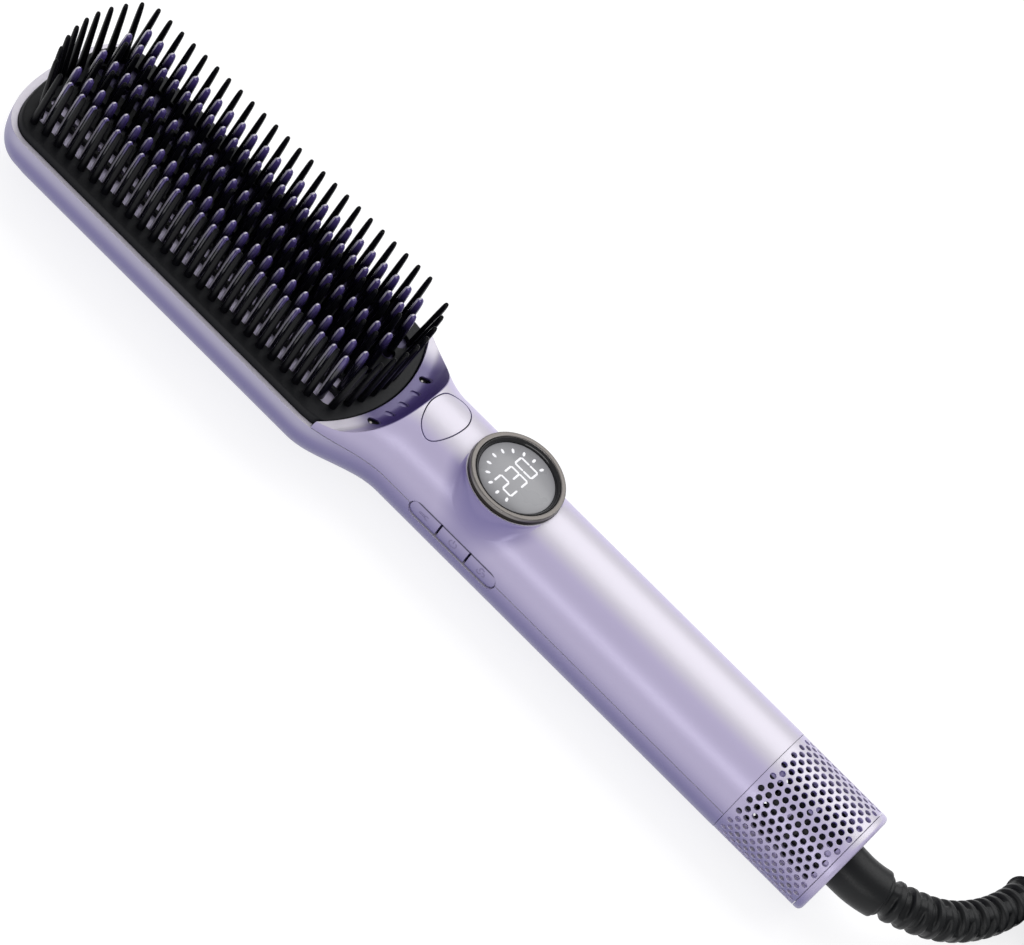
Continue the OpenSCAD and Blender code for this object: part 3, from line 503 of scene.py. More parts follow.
def lowerHighlightAndShade(tree, place, colour):  # pale along the lip of the head and violet under it
    p = lipLightPaint
    part = addNode(tree, "ShaderNodeSeparateXYZ", {0: place}).outputs
    head = painted(tree, colour, p["lip"], (part["Z"], *p["lipZ"]))
    head = painted(tree, head, p["under"], (part["Z"], *p["underShadeZ"]))
    head = painted(tree, head, p["tip"], (part["X"], *p["tipX"]))
    return topHighlightUnderShade(tree, place, painted(tree, colour, head, (part["X"], *p["headX"])))


# Painted shadow: a dark line along the top of each key, under the edge of its recess
keyShadowPaint = {"line": "#2f2750", "shadowLineZ": (19.6, 19.8)}


def keyHighlightAndShadow(tree, place, colour):
    height = addNode(tree, "ShaderNodeSeparateXYZ", {0: place}).outputs["Z"]
    colour = topHighlightUnderShade(tree, place, colour)
    return painted(tree, colour, keyShadowPaint["line"], (height, *keyShadowPaint["shadowLineZ"]))


# Painted shade and painted highlights on the heated teeth
toothLightPaint = {"foot": "#0d0b1b", "footZ": (41, 35.5), "line": "#e9e3f4", "highlightSide": (-0.66, -0.75, 0.08),
    "highlightFacing": (0.88, 0.985), "nearRowY": (-14.5, -16), "shortZ": (36.5, 40.5), "tip": "#f3eefb",
    "tipHighlightSide": (-0.47, -0.25, 0.85), "tipHighlightFacing": (0.74, 0.95)}


def toothShadeAndHighlights(tree, place, colour):
    # Painted shade, dark at the foot, and painted highlights in a line down one side and on the tip
    p = toothLightPaint
    part = addNode(tree, "ShaderNodeSeparateXYZ", {0: place}).outputs
    facing = addNode(tree, "ShaderNodeNewGeometry").outputs["Normal"]
    line, tip = [addNode(tree, "ShaderNodeVectorMath", {0: facing, 1: p[side]},
        operation="DOT_PRODUCT").outputs["Value"] for side in ("highlightSide", "tipHighlightSide")]
    # The painted highlight line runs down to the foot in the nearest row, and stays short in the others
    near, short = [addNode(tree, "ShaderNodeMapRange", {"Value": value, "From Min": start,
        "From Max": end}).outputs[0] for value, (start, end) in ((part["Y"], p["nearRowY"]),
        (part["Z"], p["shortZ"]))]
    run = addNode(tree, "ShaderNodeMath", {0: near, 1: short}, operation="MAXIMUM").outputs[0]
    colour = painted(tree, colour, p["foot"], (part["Z"], *p["footZ"]))
    colour = painted(tree, colour, p["line"], (line, *p["highlightFacing"]), run)
    return painted(tree, colour, p["tip"], (tip, *p["tipHighlightFacing"]))


# Painted shade on the plate, where the bristles crowd over its slots
plateShadePaint = {"middle": "#120f1c", "middleShadeY": (-7.5, -3.5), "far": "#463f60", "farShadeY": (3.5, 7.5)}


def plateLightAndShade(tree, place, colour):  # pale on the near side as a painted highlight, with painted shade nearly black in the middle and dim on the far side
    across = addNode(tree, "ShaderNodeSeparateXYZ", {0: place}).outputs["Y"]
    colour = painted(tree, colour, plateShadePaint["middle"], (across, *plateShadePaint["middleShadeY"]))
    return painted(tree, colour, plateShadePaint["far"], (across, *plateShadePaint["farShadeY"]))


# Painted shade: black on the cage where the holes of the sleeve show dark
cageShadePaint = {"shadow": "#0b0b10", "turns": [(12, 61), (74, 118)], "turnFade": 1.146,
    "spans": [(126.3, 137.4), (138.8, 151.4)], "spanFade": 0.2}


def cageShadeTint(tree, place, colour):  # black between the ribs of the cage
    p = cageShadePaint
    part = addNode(tree, "ShaderNodeSeparateXYZ", {0: place}).outputs
    up = addNode(tree, "ShaderNodeMath", {0: part["Z"], 1: body["axisZ"]}, operation="SUBTRACT").outputs[0]
    near = addNode(tree, "ShaderNodeMath", {0: part["Y"], 1: -1}, operation="MULTIPLY").outputs[0]
    turn = addNode(tree, "ShaderNodeMath", {0: up, 1: near}, operation="ARCTAN2").outputs[0]
    for low, high in p["turns"]:
        around = band(tree, turn, math.radians(low), math.radians(high), math.radians(p["turnFade"]))
        for start, end in p["spans"]:
            along = band(tree, part["X"], start, end, p["spanFade"])
            colour = painted(tree, colour, p["shadow"], around, along)
    return colour


# Painted shade on the ring: dark round its foot, where it meets the boss, and darker on its top face
ringShadePaint = {"groove": "#2c2927", "footShadeZ": (36.95, 36.7), "face": "#6f6b68", "topShadeFacing": (0.93, 0.99)}


def ringShadeTint(tree, place, colour):  # painted shade round the foot of the ring, and darker painted shade on its top face
    p = ringShadePaint
    height = addNode(tree, "ShaderNodeSeparateXYZ", {0: place}).outputs["Z"]
    facing = addNode(tree, "ShaderNodeNewGeometry").outputs["Normal"]
    up = addNode(tree, "ShaderNodeSeparateXYZ", {0: facing}).outputs["Z"]
    colour = painted(tree, colour, p["groove"], (height, *p["footShadeZ"]))
    return painted(tree, colour, p["face"], (up, *p["topShadeFacing"]))


# Painted shade under the display ring, on the near side of the boss
bossShadePaint = {"near": "#857bb0", "reach": (20.5, 14.8), "side": (0.15, 1, 0), "across": (-3, -12)}
scoopShadePaint = {"deep": "#47377a", "fadeMiddle": 3, "fadeStart": 15, "fadeEnd": 26, "edge": (0.4, 0.08),
    "slopeRise": (-0.02, 0.25), "slopeShare": 0.97, "hollows": (44, 55), "hollowFade": 0.2,
    "dimpleRise": (-1, 0), "dimpleFade": 0.005, "vent": "#0d0b14", "ventTurn": 18.335, "ventTurnFade": 0.573,
    "ventRise": (-1, -0.035), "ventFade": 0.02}


def bossShadeTint(tree, place, colour):  # painted shade on the near side of the boss, just under the ring
    p = bossShadePaint
    off, reach = fromUpright(tree, place, display["x"])
    across = addNode(tree, "ShaderNodeVectorMath", {0: off, 1: p["side"]},
        operation="DOT_PRODUCT").outputs["Value"]
    return painted(tree, colour, p["near"], (reach, *p["reach"]), (across, *p["across"]))


# Painted shade in the hollow of the scoop, and painted black shade in its vents
def scoopShadeTint(tree, place, colour):  # violet inside the curve of the scoop, away from its two ends
    p = scoopShadePaint
    off, reach = fromUpright(tree, place, scoop["centreX"])
    part = addNode(tree, "ShaderNodeSeparateXYZ", {0: off}).outputs
    turn = addNode(tree, "ShaderNodeMath", {0: part["Y"], 1: part["X"]}, operation="ARCTAN2").outputs[0]
    middle, fade = math.radians(p["fadeMiddle"]), math.radians(p["fadeEnd"])
    ends = band(tree, turn, middle - fade, middle + fade, fade - math.radians(p["fadeStart"]), "SMOOTHSTEP")
    # Height over the floor as a share of the wall's, and how far out the curved wall is there
    height = {"Value": part["Z"], "From Min": scoop["floorZ"], "From Max": scoop["rimZ"]}
    rise = addNode(tree, "ShaderNodeMapRange", height, clamp=False).outputs[0]
    level = addNode(tree, "ShaderNodeMapRange", {**height, "To Min": 1, "To Max": 0}).outputs[0]
    square = addNode(tree, "ShaderNodeMath", {0: level, 1: level}, operation="MULTIPLY").outputs[0]
    rest = addNode(tree, "ShaderNodeMath", {0: 1, 1: square}, operation="SUBTRACT").outputs[0]
    bulge = addNode(tree, "ShaderNodeMath", {0: rest}, operation="SQRT").outputs[0]
    wall = addNode(tree, "ShaderNodeMath", {0: bulge, 1: scoop["wallWidth"], 2: scoop["floorRadius"]},
        operation="MULTIPLY_ADD").outputs[0]
    past = addNode(tree, "ShaderNodeMath", {0: reach, 1: wall}, operation="SUBTRACT").outputs[0]
    within = addNode(tree, "ShaderNodeMapRange", {"Value": past, "From Min": p["edge"][0],
        "From Max": p["edge"][1]}).outputs[0]
    slope = addNode(tree, "ShaderNodeMapRange", {"Value": rise, "From Min": p["slopeRise"][0],
        "From Max": p["slopeRise"][1], "To Min": p["slopeShare"], "To Max": 1}).outputs[0]
    inside = addNode(tree, "ShaderNodeMath", {0: within, 1: slope}, operation="MULTIPLY").outputs[0]
    # The dimples take the painted shade too, and the vents end in a painted black shade
    around = band(tree, reach, *p["hollows"], p["hollowFade"])
    sunk = band(tree, rise, *p["dimpleRise"], p["dimpleFade"])
    dimpled = addNode(tree, "ShaderNodeMath", {0: around, 1: sunk}, operation="MULTIPLY").outputs[0]
    share = addNode(tree, "ShaderNodeMath", {0: inside, 1: dimpled}, operation="MAXIMUM").outputs[0]
    shown = topHighlightUnderShade(tree, place, bossShadeTint(tree, place, colour))
    shown = painted(tree, shown, p["deep"], share, ends)
    ventTurn, ventFade = math.radians(p["ventTurn"]), math.radians(p["ventTurnFade"])
    return painted(tree, shown, p["vent"], band(tree, turn, -ventTurn, ventTurn, ventFade), around,
        band(tree, rise, *p["ventRise"], p["ventFade"]))


# The painted highlights and painted shade laid over each finish
tints = {"pearlPaintedAbs": topHighlightUnderShade, "pearlPaintedScoop": scoopShadeTint, "pearlPaintedLower": lowerHighlightAndShade,
    "pearlPaintedKeys": keyHighlightAndShadow, "pearlPaintedCage": cageShadeTint, "ceramicCoatedAluminium": toothShadeAndHighlights,
    "ceramicPlatePaintedLight": plateLightAndShade, "turnedGunmetal": ringShadeTint}
paint = {name: finish(name, look, tints.get(name)) for name, look in finishes.items()}
paint["whiteLed"] = glowing("whiteLed", ledLook)
print("finishes made")


# Cord, with the moulded boot and relief at its root and the plug at its end

cordSettings = {"diameter": 7, "sides": 16,
    "lead": [(202, 50, 6.8), (202.9, 53.5, 5.2), (203.4, 57, 4), (203.5, 60, 3.5)], "leadSteps": 6,
    "coilCentre": (252.5, 60), "coilRadius": 49, "coilPitch": 7.65, "coilTurns": 3.25, "coilSteps": 48,
    "climbStart": 0.5, "tailSteps": 5,
    "tail": [(301.5, 60, 11.15), (300.85, 52.4, 11.1), (299, 44.5, 11), (296.3, 37.5, 11), (294.5, 30, 11)]}
bootSettings = {"line": [(159, 0, 18), (164, 0, 18), (168, 0.7, 17.9), (171.8, 2.1, 17.6)], "steps": 10,
    "sides": 48, "endDirection": (4.2, 1.8, -0.4), "radii": (7.5, 7.25), "round": 0.7}
# The groove and the bridge give the ends of their soft edges as a share of the pitch and of the turn
reliefSettings = {"line": [(171.8, 2.1, 17.6), (176.6, 4.2, 17.1), (182.4, 7.9, 16.1), (187.4, 12.3, 14.8),
    (191.6, 17.7, 13.3), (195.2, 24.3, 11.6), (198.4, 32.4, 9.8), (200.6, 41, 8.2), (202, 50, 6.8)],
    "steps": 6, "endDirection": (1, 6.6, -1.8), "ribs": 14, "ringsPerRib": 16, "sides": 40, "radius": 6.3,
    "taper": 0.7, "slotDepth": 1.5, "groove": (0.34, 0.2), "stagger": 0.25, "bridges": 2,
    "bridge": (0.12, 0.17), "bridgeDepth": 0.25, "plainEnd": 0.00001}


def coilPoint(t):
    c = cordSettings
    reach = c["coilRadius"] - c["coilPitch"]*(c["coilTurns"] - abs(t - c["coilTurns"]))
    height = c["diameter"]/2 + c["coilPitch"]*smooth(t - c["coilTurns"] + c["climbStart"])
    x, y = c["coilCentre"]
    return Vector((x + reach*cosD(180 - 360*t), y + reach*sinD(180 - 360*t), height))


def addCord():
    c = cordSettings
    turns = 2*c["coilTurns"]  # inwards in the lower layer and outwards in the upper one
    line = curveThrough(c["lead"], c["leadSteps"], reliefSettings["endDirection"], (0, 1, 0))[:-1]
    line += [coilPoint(turns*t) for t in steps(round(turns*c["coilSteps"]))[:-1]]
    line += curveThrough(c["tail"], c["tailSteps"], (0, -1, 0), (0, -1, 0))
    curve = bpy.data.curves.new("mainsCord", "CURVE")
    curve.dimensions = "3D"
    curve.bevel_depth = c["diameter"]/2*milli
    curve.bevel_resolution = c["sides"]//4
    curve.use_fill_caps = True
    spline = curve.splines.new("POLY")
    spline.points.add(len(line) - 1)
    for point, spot in zip(spline.points, line):
        point.co = (*(spot*milli), 1)
    spline.use_smooth = True
    length = lengthOf(line)*milli
    cord = placed(newObject("mainsCord", curve), paint["extrudedPvc"], "body",
        ("power_cord", "cord_coil", "cord_tail"))
    print("cord length %.3f m" % length)
    return cord, length


def addBoot():
    b = bootSettings
    line = curveThrough(b["line"], b["steps"], (1, 0, 0), b["endDirection"])
    whole = lengthOf(line)
    radii, run = [], 0
    for i, spot in enumerate(line):
        run += (spot - line[i - 1]).length if i else 0
        left = min((whole - run)/b["round"], 1)
        inset = b["round"]*(1 - math.sqrt(max(1 - (1 - left)**2, 0)))
        radii.append(mix(*b["radii"], run/whole) - inset)
    boot = shaded(loft("cordBoot", tubeRings(line, radii, b["sides"])), 50)
    return placed(boot, paint["satinRubber"], "body", ("cord_boot",))


def ribbedSleeveTree(material):
    # Tube along a line, with ribs and with slots between them that are staggered by a quarter turn
    r = reliefSettings
    tree, given = newTree("ribbedSleeve", [("Ribs", "Int", r["ribs"]),
        ("Outer radius", "Float", r["radius"]*milli), ("Taper", "Float", r["taper"]*milli),
        ("Slot depth", "Float", r["slotDepth"]*milli), ("Rings", "Int", r["ringsPerRib"]*r["ribs"] + 1)])
    line = addNode(tree, "GeometryNodeMeshToCurve", {0: given["Geometry"]})
    even = addNode(tree, "GeometryNodeResampleCurve", {"Curve": line.outputs[0], "Count": given["Rings"]})
    circle = addNode(tree, "GeometryNodeCurvePrimitiveCircle", {"Resolution": r["sides"],
        "Radius": given["Outer radius"]})
    share = addNode(tree, "GeometryNodeSplineParameter").outputs["Factor"]
    spine, profile = [addNode(tree, "GeometryNodeStoreNamedAttribute", {"Geometry": curve.outputs[0],
        "Name": name, "Value": share}, domain="POINT", data_type="FLOAT").outputs[0]
        for curve, name in ((even, "along"), (circle, "around"))]
    tube = addNode(tree, "GeometryNodeCurveToMesh", {"Curve": spine, "Profile Curve": profile,
        "Fill Caps": True})
    along, around = [addNode(tree, "GeometryNodeInputNamedAttribute", {"Name": name},
        data_type="FLOAT").outputs[0] for name in ("along", "around")]
    # Groove between two ribs, with rounded shoulders
    ribPlace = addNode(tree, "ShaderNodeMath", {0: along, 1: given["Ribs"]}, operation="MULTIPLY").outputs[0]
    phase = addNode(tree, "ShaderNodeMath", {0: ribPlace}, operation="FRACT").outputs[0]
    offRib = addNode(tree, "ShaderNodeMath", {0: phase, 1: 0.5}, operation="SUBTRACT").outputs[0]
    off = addNode(tree, "ShaderNodeMath", {0: offRib}, operation="ABSOLUTE").outputs[0]
    groove = addNode(tree, "ShaderNodeMapRange", {"Value": off, "From Min": r["groove"][0],
        "From Max": r["groove"][1]}, interpolation_type="SMOOTHSTEP").outputs[0]
    # Two bridges cross each groove, a quarter turn on from one groove to the next
    ribNumber = addNode(tree, "ShaderNodeMath", {0: ribPlace}, operation="FLOOR").outputs[0]
    odd = addNode(tree, "ShaderNodeMath", {0: ribNumber, 1: 2}, operation="MODULO").outputs[0]
    shifted = addNode(tree, "ShaderNodeMath", {0: odd, 1: r["stagger"], 2: around},
        operation="MULTIPLY_ADD").outputs[0]
    turns = addNode(tree, "ShaderNodeMath", {0: shifted, 1: r["bridges"]}, operation="MULTIPLY").outputs[0]
    turned = addNode(tree, "ShaderNodeMath", {0: turns}, operation="FRACT").outputs[0]
    offBridge = addNode(tree, "ShaderNodeMath", {0: turned, 1: 0.5}, operation="SUBTRACT").outputs[0]
    aside = addNode(tree, "ShaderNodeMath", {0: offBridge}, operation="ABSOLUTE").outputs[0]
    openShare = addNode(tree, "ShaderNodeMapRange", {"Value": aside, "From Min": r["bridge"][0],
        "From Max": r["bridge"][1], "To Min": r["bridgeDepth"]}, interpolation_type="SMOOTHSTEP").outputs[0]
    # The surface goes in by the depth of the groove and by the taper of the whole sleeve
    cut = addNode(tree, "ShaderNodeMath", {0: groove, 1: openShare}, operation="MULTIPLY").outputs[0]
    slope = addNode(tree, "ShaderNodeMath", {0: along, 1: given["Taper"]}, operation="MULTIPLY").outputs[0]
    drop = addNode(tree, "ShaderNodeMath", {0: cut, 1: given["Slot depth"], 2: slope},
        operation="MULTIPLY_ADD").outputs[0]
    inwards = addNode(tree, "ShaderNodeMath", {0: drop, 1: -1}, operation="MULTIPLY").outputs[0]
    normal = addNode(tree, "GeometryNodeInputNormal").outputs[0]
    push = addNode(tree, "ShaderNodeVectorMath", {0: normal, "Scale": inwards}, operation="SCALE").outputs[0]
    # The two end faces stay where they are
    left = addNode(tree, "ShaderNodeMath", {0: 1, 1: along}, operation="SUBTRACT").outputs[0]
    inner = addNode(tree, "ShaderNodeMath", {0: along, 1: left}, operation="MULTIPLY").outputs[0]
    inside = addNode(tree, "ShaderNodeMath", {0: inner, 1: r["plainEnd"]}, operation="GREATER_THAN")
    moved = addNode(tree, "GeometryNodeSetPosition", {"Geometry": tube.outputs[0], "Offset": push,
        "Selection": inside.outputs[0]})
    finishTree(tree, moved.outputs[0], material)
    return tree


def addRelief():
    r = reliefSettings
    line = curveThrough(r["line"], r["steps"], bootSettings["endDirection"], r["endDirection"])
    mesh = bpy.data.meshes.new("reliefLine")
    mesh.from_pydata([p*milli for p in line], [(i, i + 1) for i in range(len(line) - 1)], [])
    tree = ribbedSleeveTree(paint["satinRubber"])
    sleeve = runTree("ribbedRelief", tree, mesh, {"Ribs": r["ribs"], "Outer radius": r["radius"]*milli,
        "Taper": r["taper"]*milli, "Slot depth": r["slotDepth"]*milli,
        "Rings": r["ringsPerRib"]*r["ribs"] + 1})
    return placed(shaded(sleeve, 60), paint["satinRubber"], "body", ("strain_relief",))


plugSettings = {"x": 294.5, "z": 11, "halfWidth": 15, "halfHeight": 11, "squareness": 5, "faceY": -6,
    "edge": 0.9, "edgeSteps": 5, "gripY": 12, "throatY": 25, "endY": 30, "throatRadius": 6.5,
    "gripDepth": 0.5, "gripPitch": 3.2, "gripMargin": 3, "neckLead": 2, "rings": 74, "firstRing": 1.5,
    "sides": 64}


def addPlug():
    p = plugSettings
    rings = []
    places = [p["faceY"] + p["edge"]*(1 - cosD(90*t)) for t in steps(p["edgeSteps"])]
    places += [mix(p["faceY"] + p["firstRing"], p["endY"], t) for t in steps(p["rings"])]
    neckY = p["gripY"] - p["neckLead"]
    for y in places:
        t = smooth((y - neckY)/(p["throatY"] - neckY))
        rounded = max(0, 1 - (y - p["faceY"])/p["edge"])
        inset = p["edge"]*(1 - math.sqrt(max(1 - rounded*rounded, 0)))
        grip, ridge = 0, y - p["faceY"] - p["gripMargin"]
        if 0 < ridge and y < p["gripY"] + p["gripMargin"]:
            grip = p["gripDepth"]*max(0, math.sin(2*math.pi*ridge/p["gripPitch"]))
        power = mix(p["squareness"], 2, t)
        ring = []
        for turn in fullTurn(p["sides"]):
            c, h = cosD(turn), sinD(turn)
            reach = (abs(c)**power + abs(h)**power)**(-1/power)
            wide = mix(p["halfWidth"], p["throatRadius"], t) - inset - grip*abs(c)**4
            tall = mix(p["halfHeight"], p["throatRadius"], t) - inset
            ring.append((p["x"] + wide*reach*c, y, p["z"] + tall*reach*h))
        rings.append(ring)
    plug = shaded(loft("plugHousing", rings), 60)
    return placed(plug, paint["satinRubber"], "body", ("plug_body",))


cord, cordLength = addCord()
boot, relief, plug = addBoot(), addRelief(), addPlug()
print("cord laid")


# Body of the brush: the same rule as the frame, with a finer step

def neck(x):
    return smooth((x - body["neckStart"])/(body["neckEnd"] - body["neckStart"]))


def halfWidth(x, k):
    fromTip = body["tipX"] + body["tipLength"] - x
    if fromTip > 0:
        bulge = max(1 - (fromTip/(body["tipLength"] - k))**body["tipPower"], 0)
        return (body["headWidth"]/2 - k)*bulge**(1/body["tipPower"])
    return mix(body["headWidth"]/2, body["handleRadius"], neck(x)) - k


def splitZ(x):
    return mix(body["lipZ"], body["axisZ"], neck(x))


def backZ(x, k):
    fromTip = body["tipX"] + body["riseLength"] - x
    if fromTip > 0:
        bulge = max(1 - (fromTip/(body["riseLength"] - k))**body["risePower"], 0)**(1/body["risePower"])
        return k + (body["lipZ"] - body["noseHeight"] - k)*(1 - bulge)
    return k - body["padSink"]*(1 - neck(x))


def wallAt(x):
    return mix(body["headWall"], body["handleWall"], neck(x))


def halfSection(x, k, up, past=0, gap=0):  # half a ring, k under the surface
    a = halfWidth(x, k)
    z0 = splitZ(x)
    power = mix(body["headPower"], 2, neck(x))
    b = 2*body["axisZ"] - z0 - k if up else z0 - backZ(x, k)
    s = 1 if up else -1
    ring = []
    for t in steps(body["arcSteps"]):
        c, h = cosD(180*t), sinD(180*t)
        z = z0 + s*max(b*abs(h)**(2/power), gap)
        ring.append((x, s*a*math.copysign(abs(c)**(2/power), c), max(z, 0)))
    if past:
        ring += [(x, -s*a, z0 - s*past), (x, s*a, z0 - s*past)]
    return ring


def tipStations(k):
    end = body["tipX"] + body["tipLength"]
    turns = [mix(body["tipStart"], 90, t**body["tipCrowding"]) for t in steps(body["tipSteps"] - 1)]
    return [end - (body["tipLength"] - k)*abs(cosD(turn))**(2/body["tipPower"]) for turn in turns]


def span(x0, x1):
    count = max(1, round((x1 - x0)/body["spanStep"]))
    return [mix(x0, x1, t) for t in steps(count)][1:]


neckStations = [mix(body["neckStart"], body["neckEnd"], t) for t in steps(body["neckSteps"])]

collar = {"lip": 0.45, "depth": 9.4, "spread": 0.85, "fillet": 4.5, "filletShare": 0.8, "columns": 180,
    "wall": 0.9, "edge": 0.12, "sink": 0.02, "foot": 0.6, "under": 0.2, "grazing": 0.985, "step": 0.02,
    "deepest": 12, "filletSteps": 14, "tuck": 0.3, "tuckStep": 0.05}
bed = {"rimWall": 1.6, "gap": 0.15, "ledgeZ": 18.6, "topZ": 24.4, "shoulder": 1, "shoulderDrop": 1.6,
    "edge": 0.6, "edgeSteps": 6, "slotPast": 5,
    "slots": [(0, 3.2), (-10.5, 4.6), (10.5, 4.6), (-17.1, 6), (17.1, 6)],
    "pocketX": (-152.8, -27.7), "pocketY": 20.5, "pocketZ": 22.8, "tipInset": 0.7, "tipPoints": 26,
    "sidePoints": 40, "arcPoints": 64, "tipStart": 1}
keys = {"x": 19.2, "z": 17.4, "length": 33.6, "height": 6.6, "ends": (-16.8, -5.6, 5.6, 16.8), "gap": 0.35,
    "sink": 0.5, "frontY": -20, "recessY": -14, "backY": -14.6, "wing": 1, "flangeY": (-15.25, -14.4),
    "flangeZ": (13.6, 21.9), "slabY": (-20, -10), "slabZ": (10, 26)}
egg = {"x": -6.9, "gap": 0.34, "sink": 0.05, "footZ": 29.4, "spaceZ": 25, "reach": 20, "spanSteps": 8,
    "outline": [(-4.7, 5.7), (-5.9, 1.5), (-5.8, -3), (-3.6, -7.8), (0.2, -9.9), (3, -8.8), (5.2, -4.4),
        (5.7, 1.2), (4.1, 5.8), (1.7, 8), (-1, 8.1)]}
shellScrews = {"bore": 2.9, "places": [(-14.5, -12.6, 8.6), (-14.5, 12.6, 8.6), (56, 0, 6), (108, 0, 6)]}
above, below = 70, -1  # where cutting tools end outside the body


def eggOutline(grow):
    points = [Vector(p) for p in egg["outline"]]
    out = []
    for i in range(len(points)):
        neighbours = [points[(i + k) % len(points)] for k in (-1, 0, 1, 2)]
        out += [between(*neighbours, t) for t in steps(egg["spanSteps"])[:-1]]
    grown = []
    for i, spot in enumerate(out):
        along = (out[(i + 1) % len(out)] - out[i - 1]).normalized()
        grown.append((egg["x"] + spot.x + along.y*grow, spot.y - along.x*grow))
    return grown


def stadium(x, y, length, width, turn=0, sides=24):
    out = []
    for s, first in ((1, -90), (-1, 90)):
        for t in steps(sides//2):
            u = s*(length - width)/2 + width/2*cosD(first + 180*t)
            v = width/2*sinD(first + 180*t)
            out.append((x + u*cosD(turn) - v*sinD(turn), y + u*sinD(turn) + v*cosD(turn)))
    return out


def keysBlock(grow, y0, y1):  # stadium of all three keys
    outline = stadium(keys["x"], keys["z"], keys["length"] + 2*grow, keys["height"] + 2*grow)
    return loft("keysBlock", [[(x, y, z) for x, z in outline] for y in (y0, y1)])


def post(x, y, z0, z1, r, sides=48):
    return prism("post", [(x + r*cosD(turn), y + r*sinD(turn)) for turn in fullTurn(sides)], z0, z1)


def handleRound(radius, x0, x1, sides=240):  # the round of the handle, which trims the buttons
    return loft("handleRound", [[(x, radius*cosD(turn), body["axisZ"] + radius*sinD(turn))
        for turn in fullTurn(sides)] for x in (x0, x1)])


def onBowl(radius, angle):
    return scoop["centreX"] + radius*cosD(angle), radius*sinD(angle)


def scoopSpace(deeper):
    profile = [(0, scoop["floorZ"] - deeper)]
    for t in steps(scoop["wallSteps"]):
        s, c = sinD(90*t), cosD(90*t)
        profile.append((scoop["floorRadius"] + (scoop["wallWidth"] + deeper)*s,
            scoop["floorZ"] - deeper + (scoop["rimZ"] - scoop["floorZ"])*(1 - c)))
    profile += [(profile[-1][0], above), (0, above)]
    return lathe("scoopSpace", profile, (scoop["centreX"], 0), scoop["sides"])


def halved(low, high, holds):  # the last value between low and high for which it holds
    for _ in range(40):
        middle = (low + high)/2
        if holds(middle):
            low = middle
        else:
            high = middle
    return low


def bedOutline(k, radius):  # inside of the lip, which is thicker at the tip, up to the arc of the scoop
    tipEnd, centre = body["tipX"] + body["tipLength"], scoop["centreX"]
    side = []
    for t in steps(bed["tipPoints"] - 1):
        turn = mix(bed["tipStart"], 90, t**body["tipCrowding"])
        side.append((tipEnd - (body["tipLength"] - k - bed["tipInset"])*abs(cosD(turn))**(2/body["tipPower"]),
            (body["headWidth"]/2 - k)*sinD(turn)**(2/body["tipPower"])))
    end = halved(0, 90, lambda turn: radius*sinD(turn) < halfWidth(centre + radius*cosD(turn), k))
    for t in steps(bed["sidePoints"])[1:-1]:
        x = mix(tipEnd, centre + radius*cosD(end), t)
        side.append((x, halfWidth(x, k)))
    turns = [mix(end, -end, t) for t in steps(bed["arcPoints"])]
    bow = [(centre + radius*cosD(turn), radius*sinD(turn)) for turn in turns]
    return side + bow + [(x, -y) for x, y in reversed(side)]


def addLowerShell():
    outer = tipStations(0) + [body["tipX"] + body["riseLength"]]
    outer += span(outer[-1], body["neckStart"]) + neckStations[1:] + span(body["neckEnd"], body["seamX"])
    inner = tipStations(body["headWall"]) + [body["tipX"] + body["riseLength"]]
    inner += span(inner[-1], body["neckStart"]) + neckStations[1:] + span(body["neckEnd"], body["seamX"] + 1)
    shell = loft("lowerShellSkin", [halfSection(x, 0, False, gap=body["seamGap"]) for x in outer])
    tools = [loft("hollow", [halfSection(x, wallAt(x), False, past=6) for x in inner]),
        prism("seat", bedOutline(bed["rimWall"], scoop["bedRadius"] + scoop["bedGap"]), bed["ledgeZ"], above),
        keysBlock(0, keys["frontY"], keys["recessY"])]
    tools += [post(x, y, below, seat, shellScrews["bore"]) for x, y, seat in shellScrews["places"]]
    combined(shell, tools)
    return placed(shaded(shell), paint["pearlPaintedLower"], "body", ("lower_shell",))


def addUpperCover():
    outer = neckStations[2:] + span(body["neckEnd"], body["seamX"])
    inner = [neckStations[0] - 1] + neckStations[1:] + span(body["neckEnd"], body["seamX"] + 1)
    cover = loft("upperCoverSkin", [halfSection(x, 0, True, gap=body["seamGap"]) for x in outer])
    hollow = loft("hollow", [halfSection(x, wallAt(x), True, past=4) for x in inner])
    combined(hollow, [scoopSpace(scoop["floorWall"])])
    bedEnd = scoop["bedRadius"] + scoop["bedGap"]
    bedSpace = lathe("bedSpace", [(0, below), (bedEnd, below), (bedEnd, above), (0, above)],
        (scoop["centreX"], 0), scoop["sides"])
    tools = [hollow, scoopSpace(0), bedSpace,
        post(display["x"], 0, body["axisZ"], above, display["holderRadius"] + display["holderGap"], 128),
        post(display["x"], 0, display["footZ"], above, display["radius"] + display["ringGap"], 160),
        prism("eggSpace", eggOutline(egg["gap"]), egg["spaceZ"], above),
        keysBlock(0, keys["frontY"], keys["recessY"])]
    ends = (scoop["ventAngles"][0], scoop["ventAngles"][-1])
    for angle in scoop["ventAngles"]:  # the two outer ones let the ions out, and the others are dimples
        x, y = onBowl(scoop["ventRadius"], angle)
        if angle in ends:
            length, width, depth = scoop["ventLength"], scoop["ventWidth"], scoop["ventDepth"]
        else:
            length, width, depth = scoop["dimpleLength"], scoop["dimpleWidth"], scoop["dimple"]
        outline = stadium(x + scoop["ventShift"], y, length, width, scoop["ventTurn"])
        tools.append(prism("hollow", outline, scoop["floorZ"] - depth, above))
    combined(cover, tools)
    return placed(shaded(cover), paint["pearlPaintedScoop"], "body", ("upper_cover",))


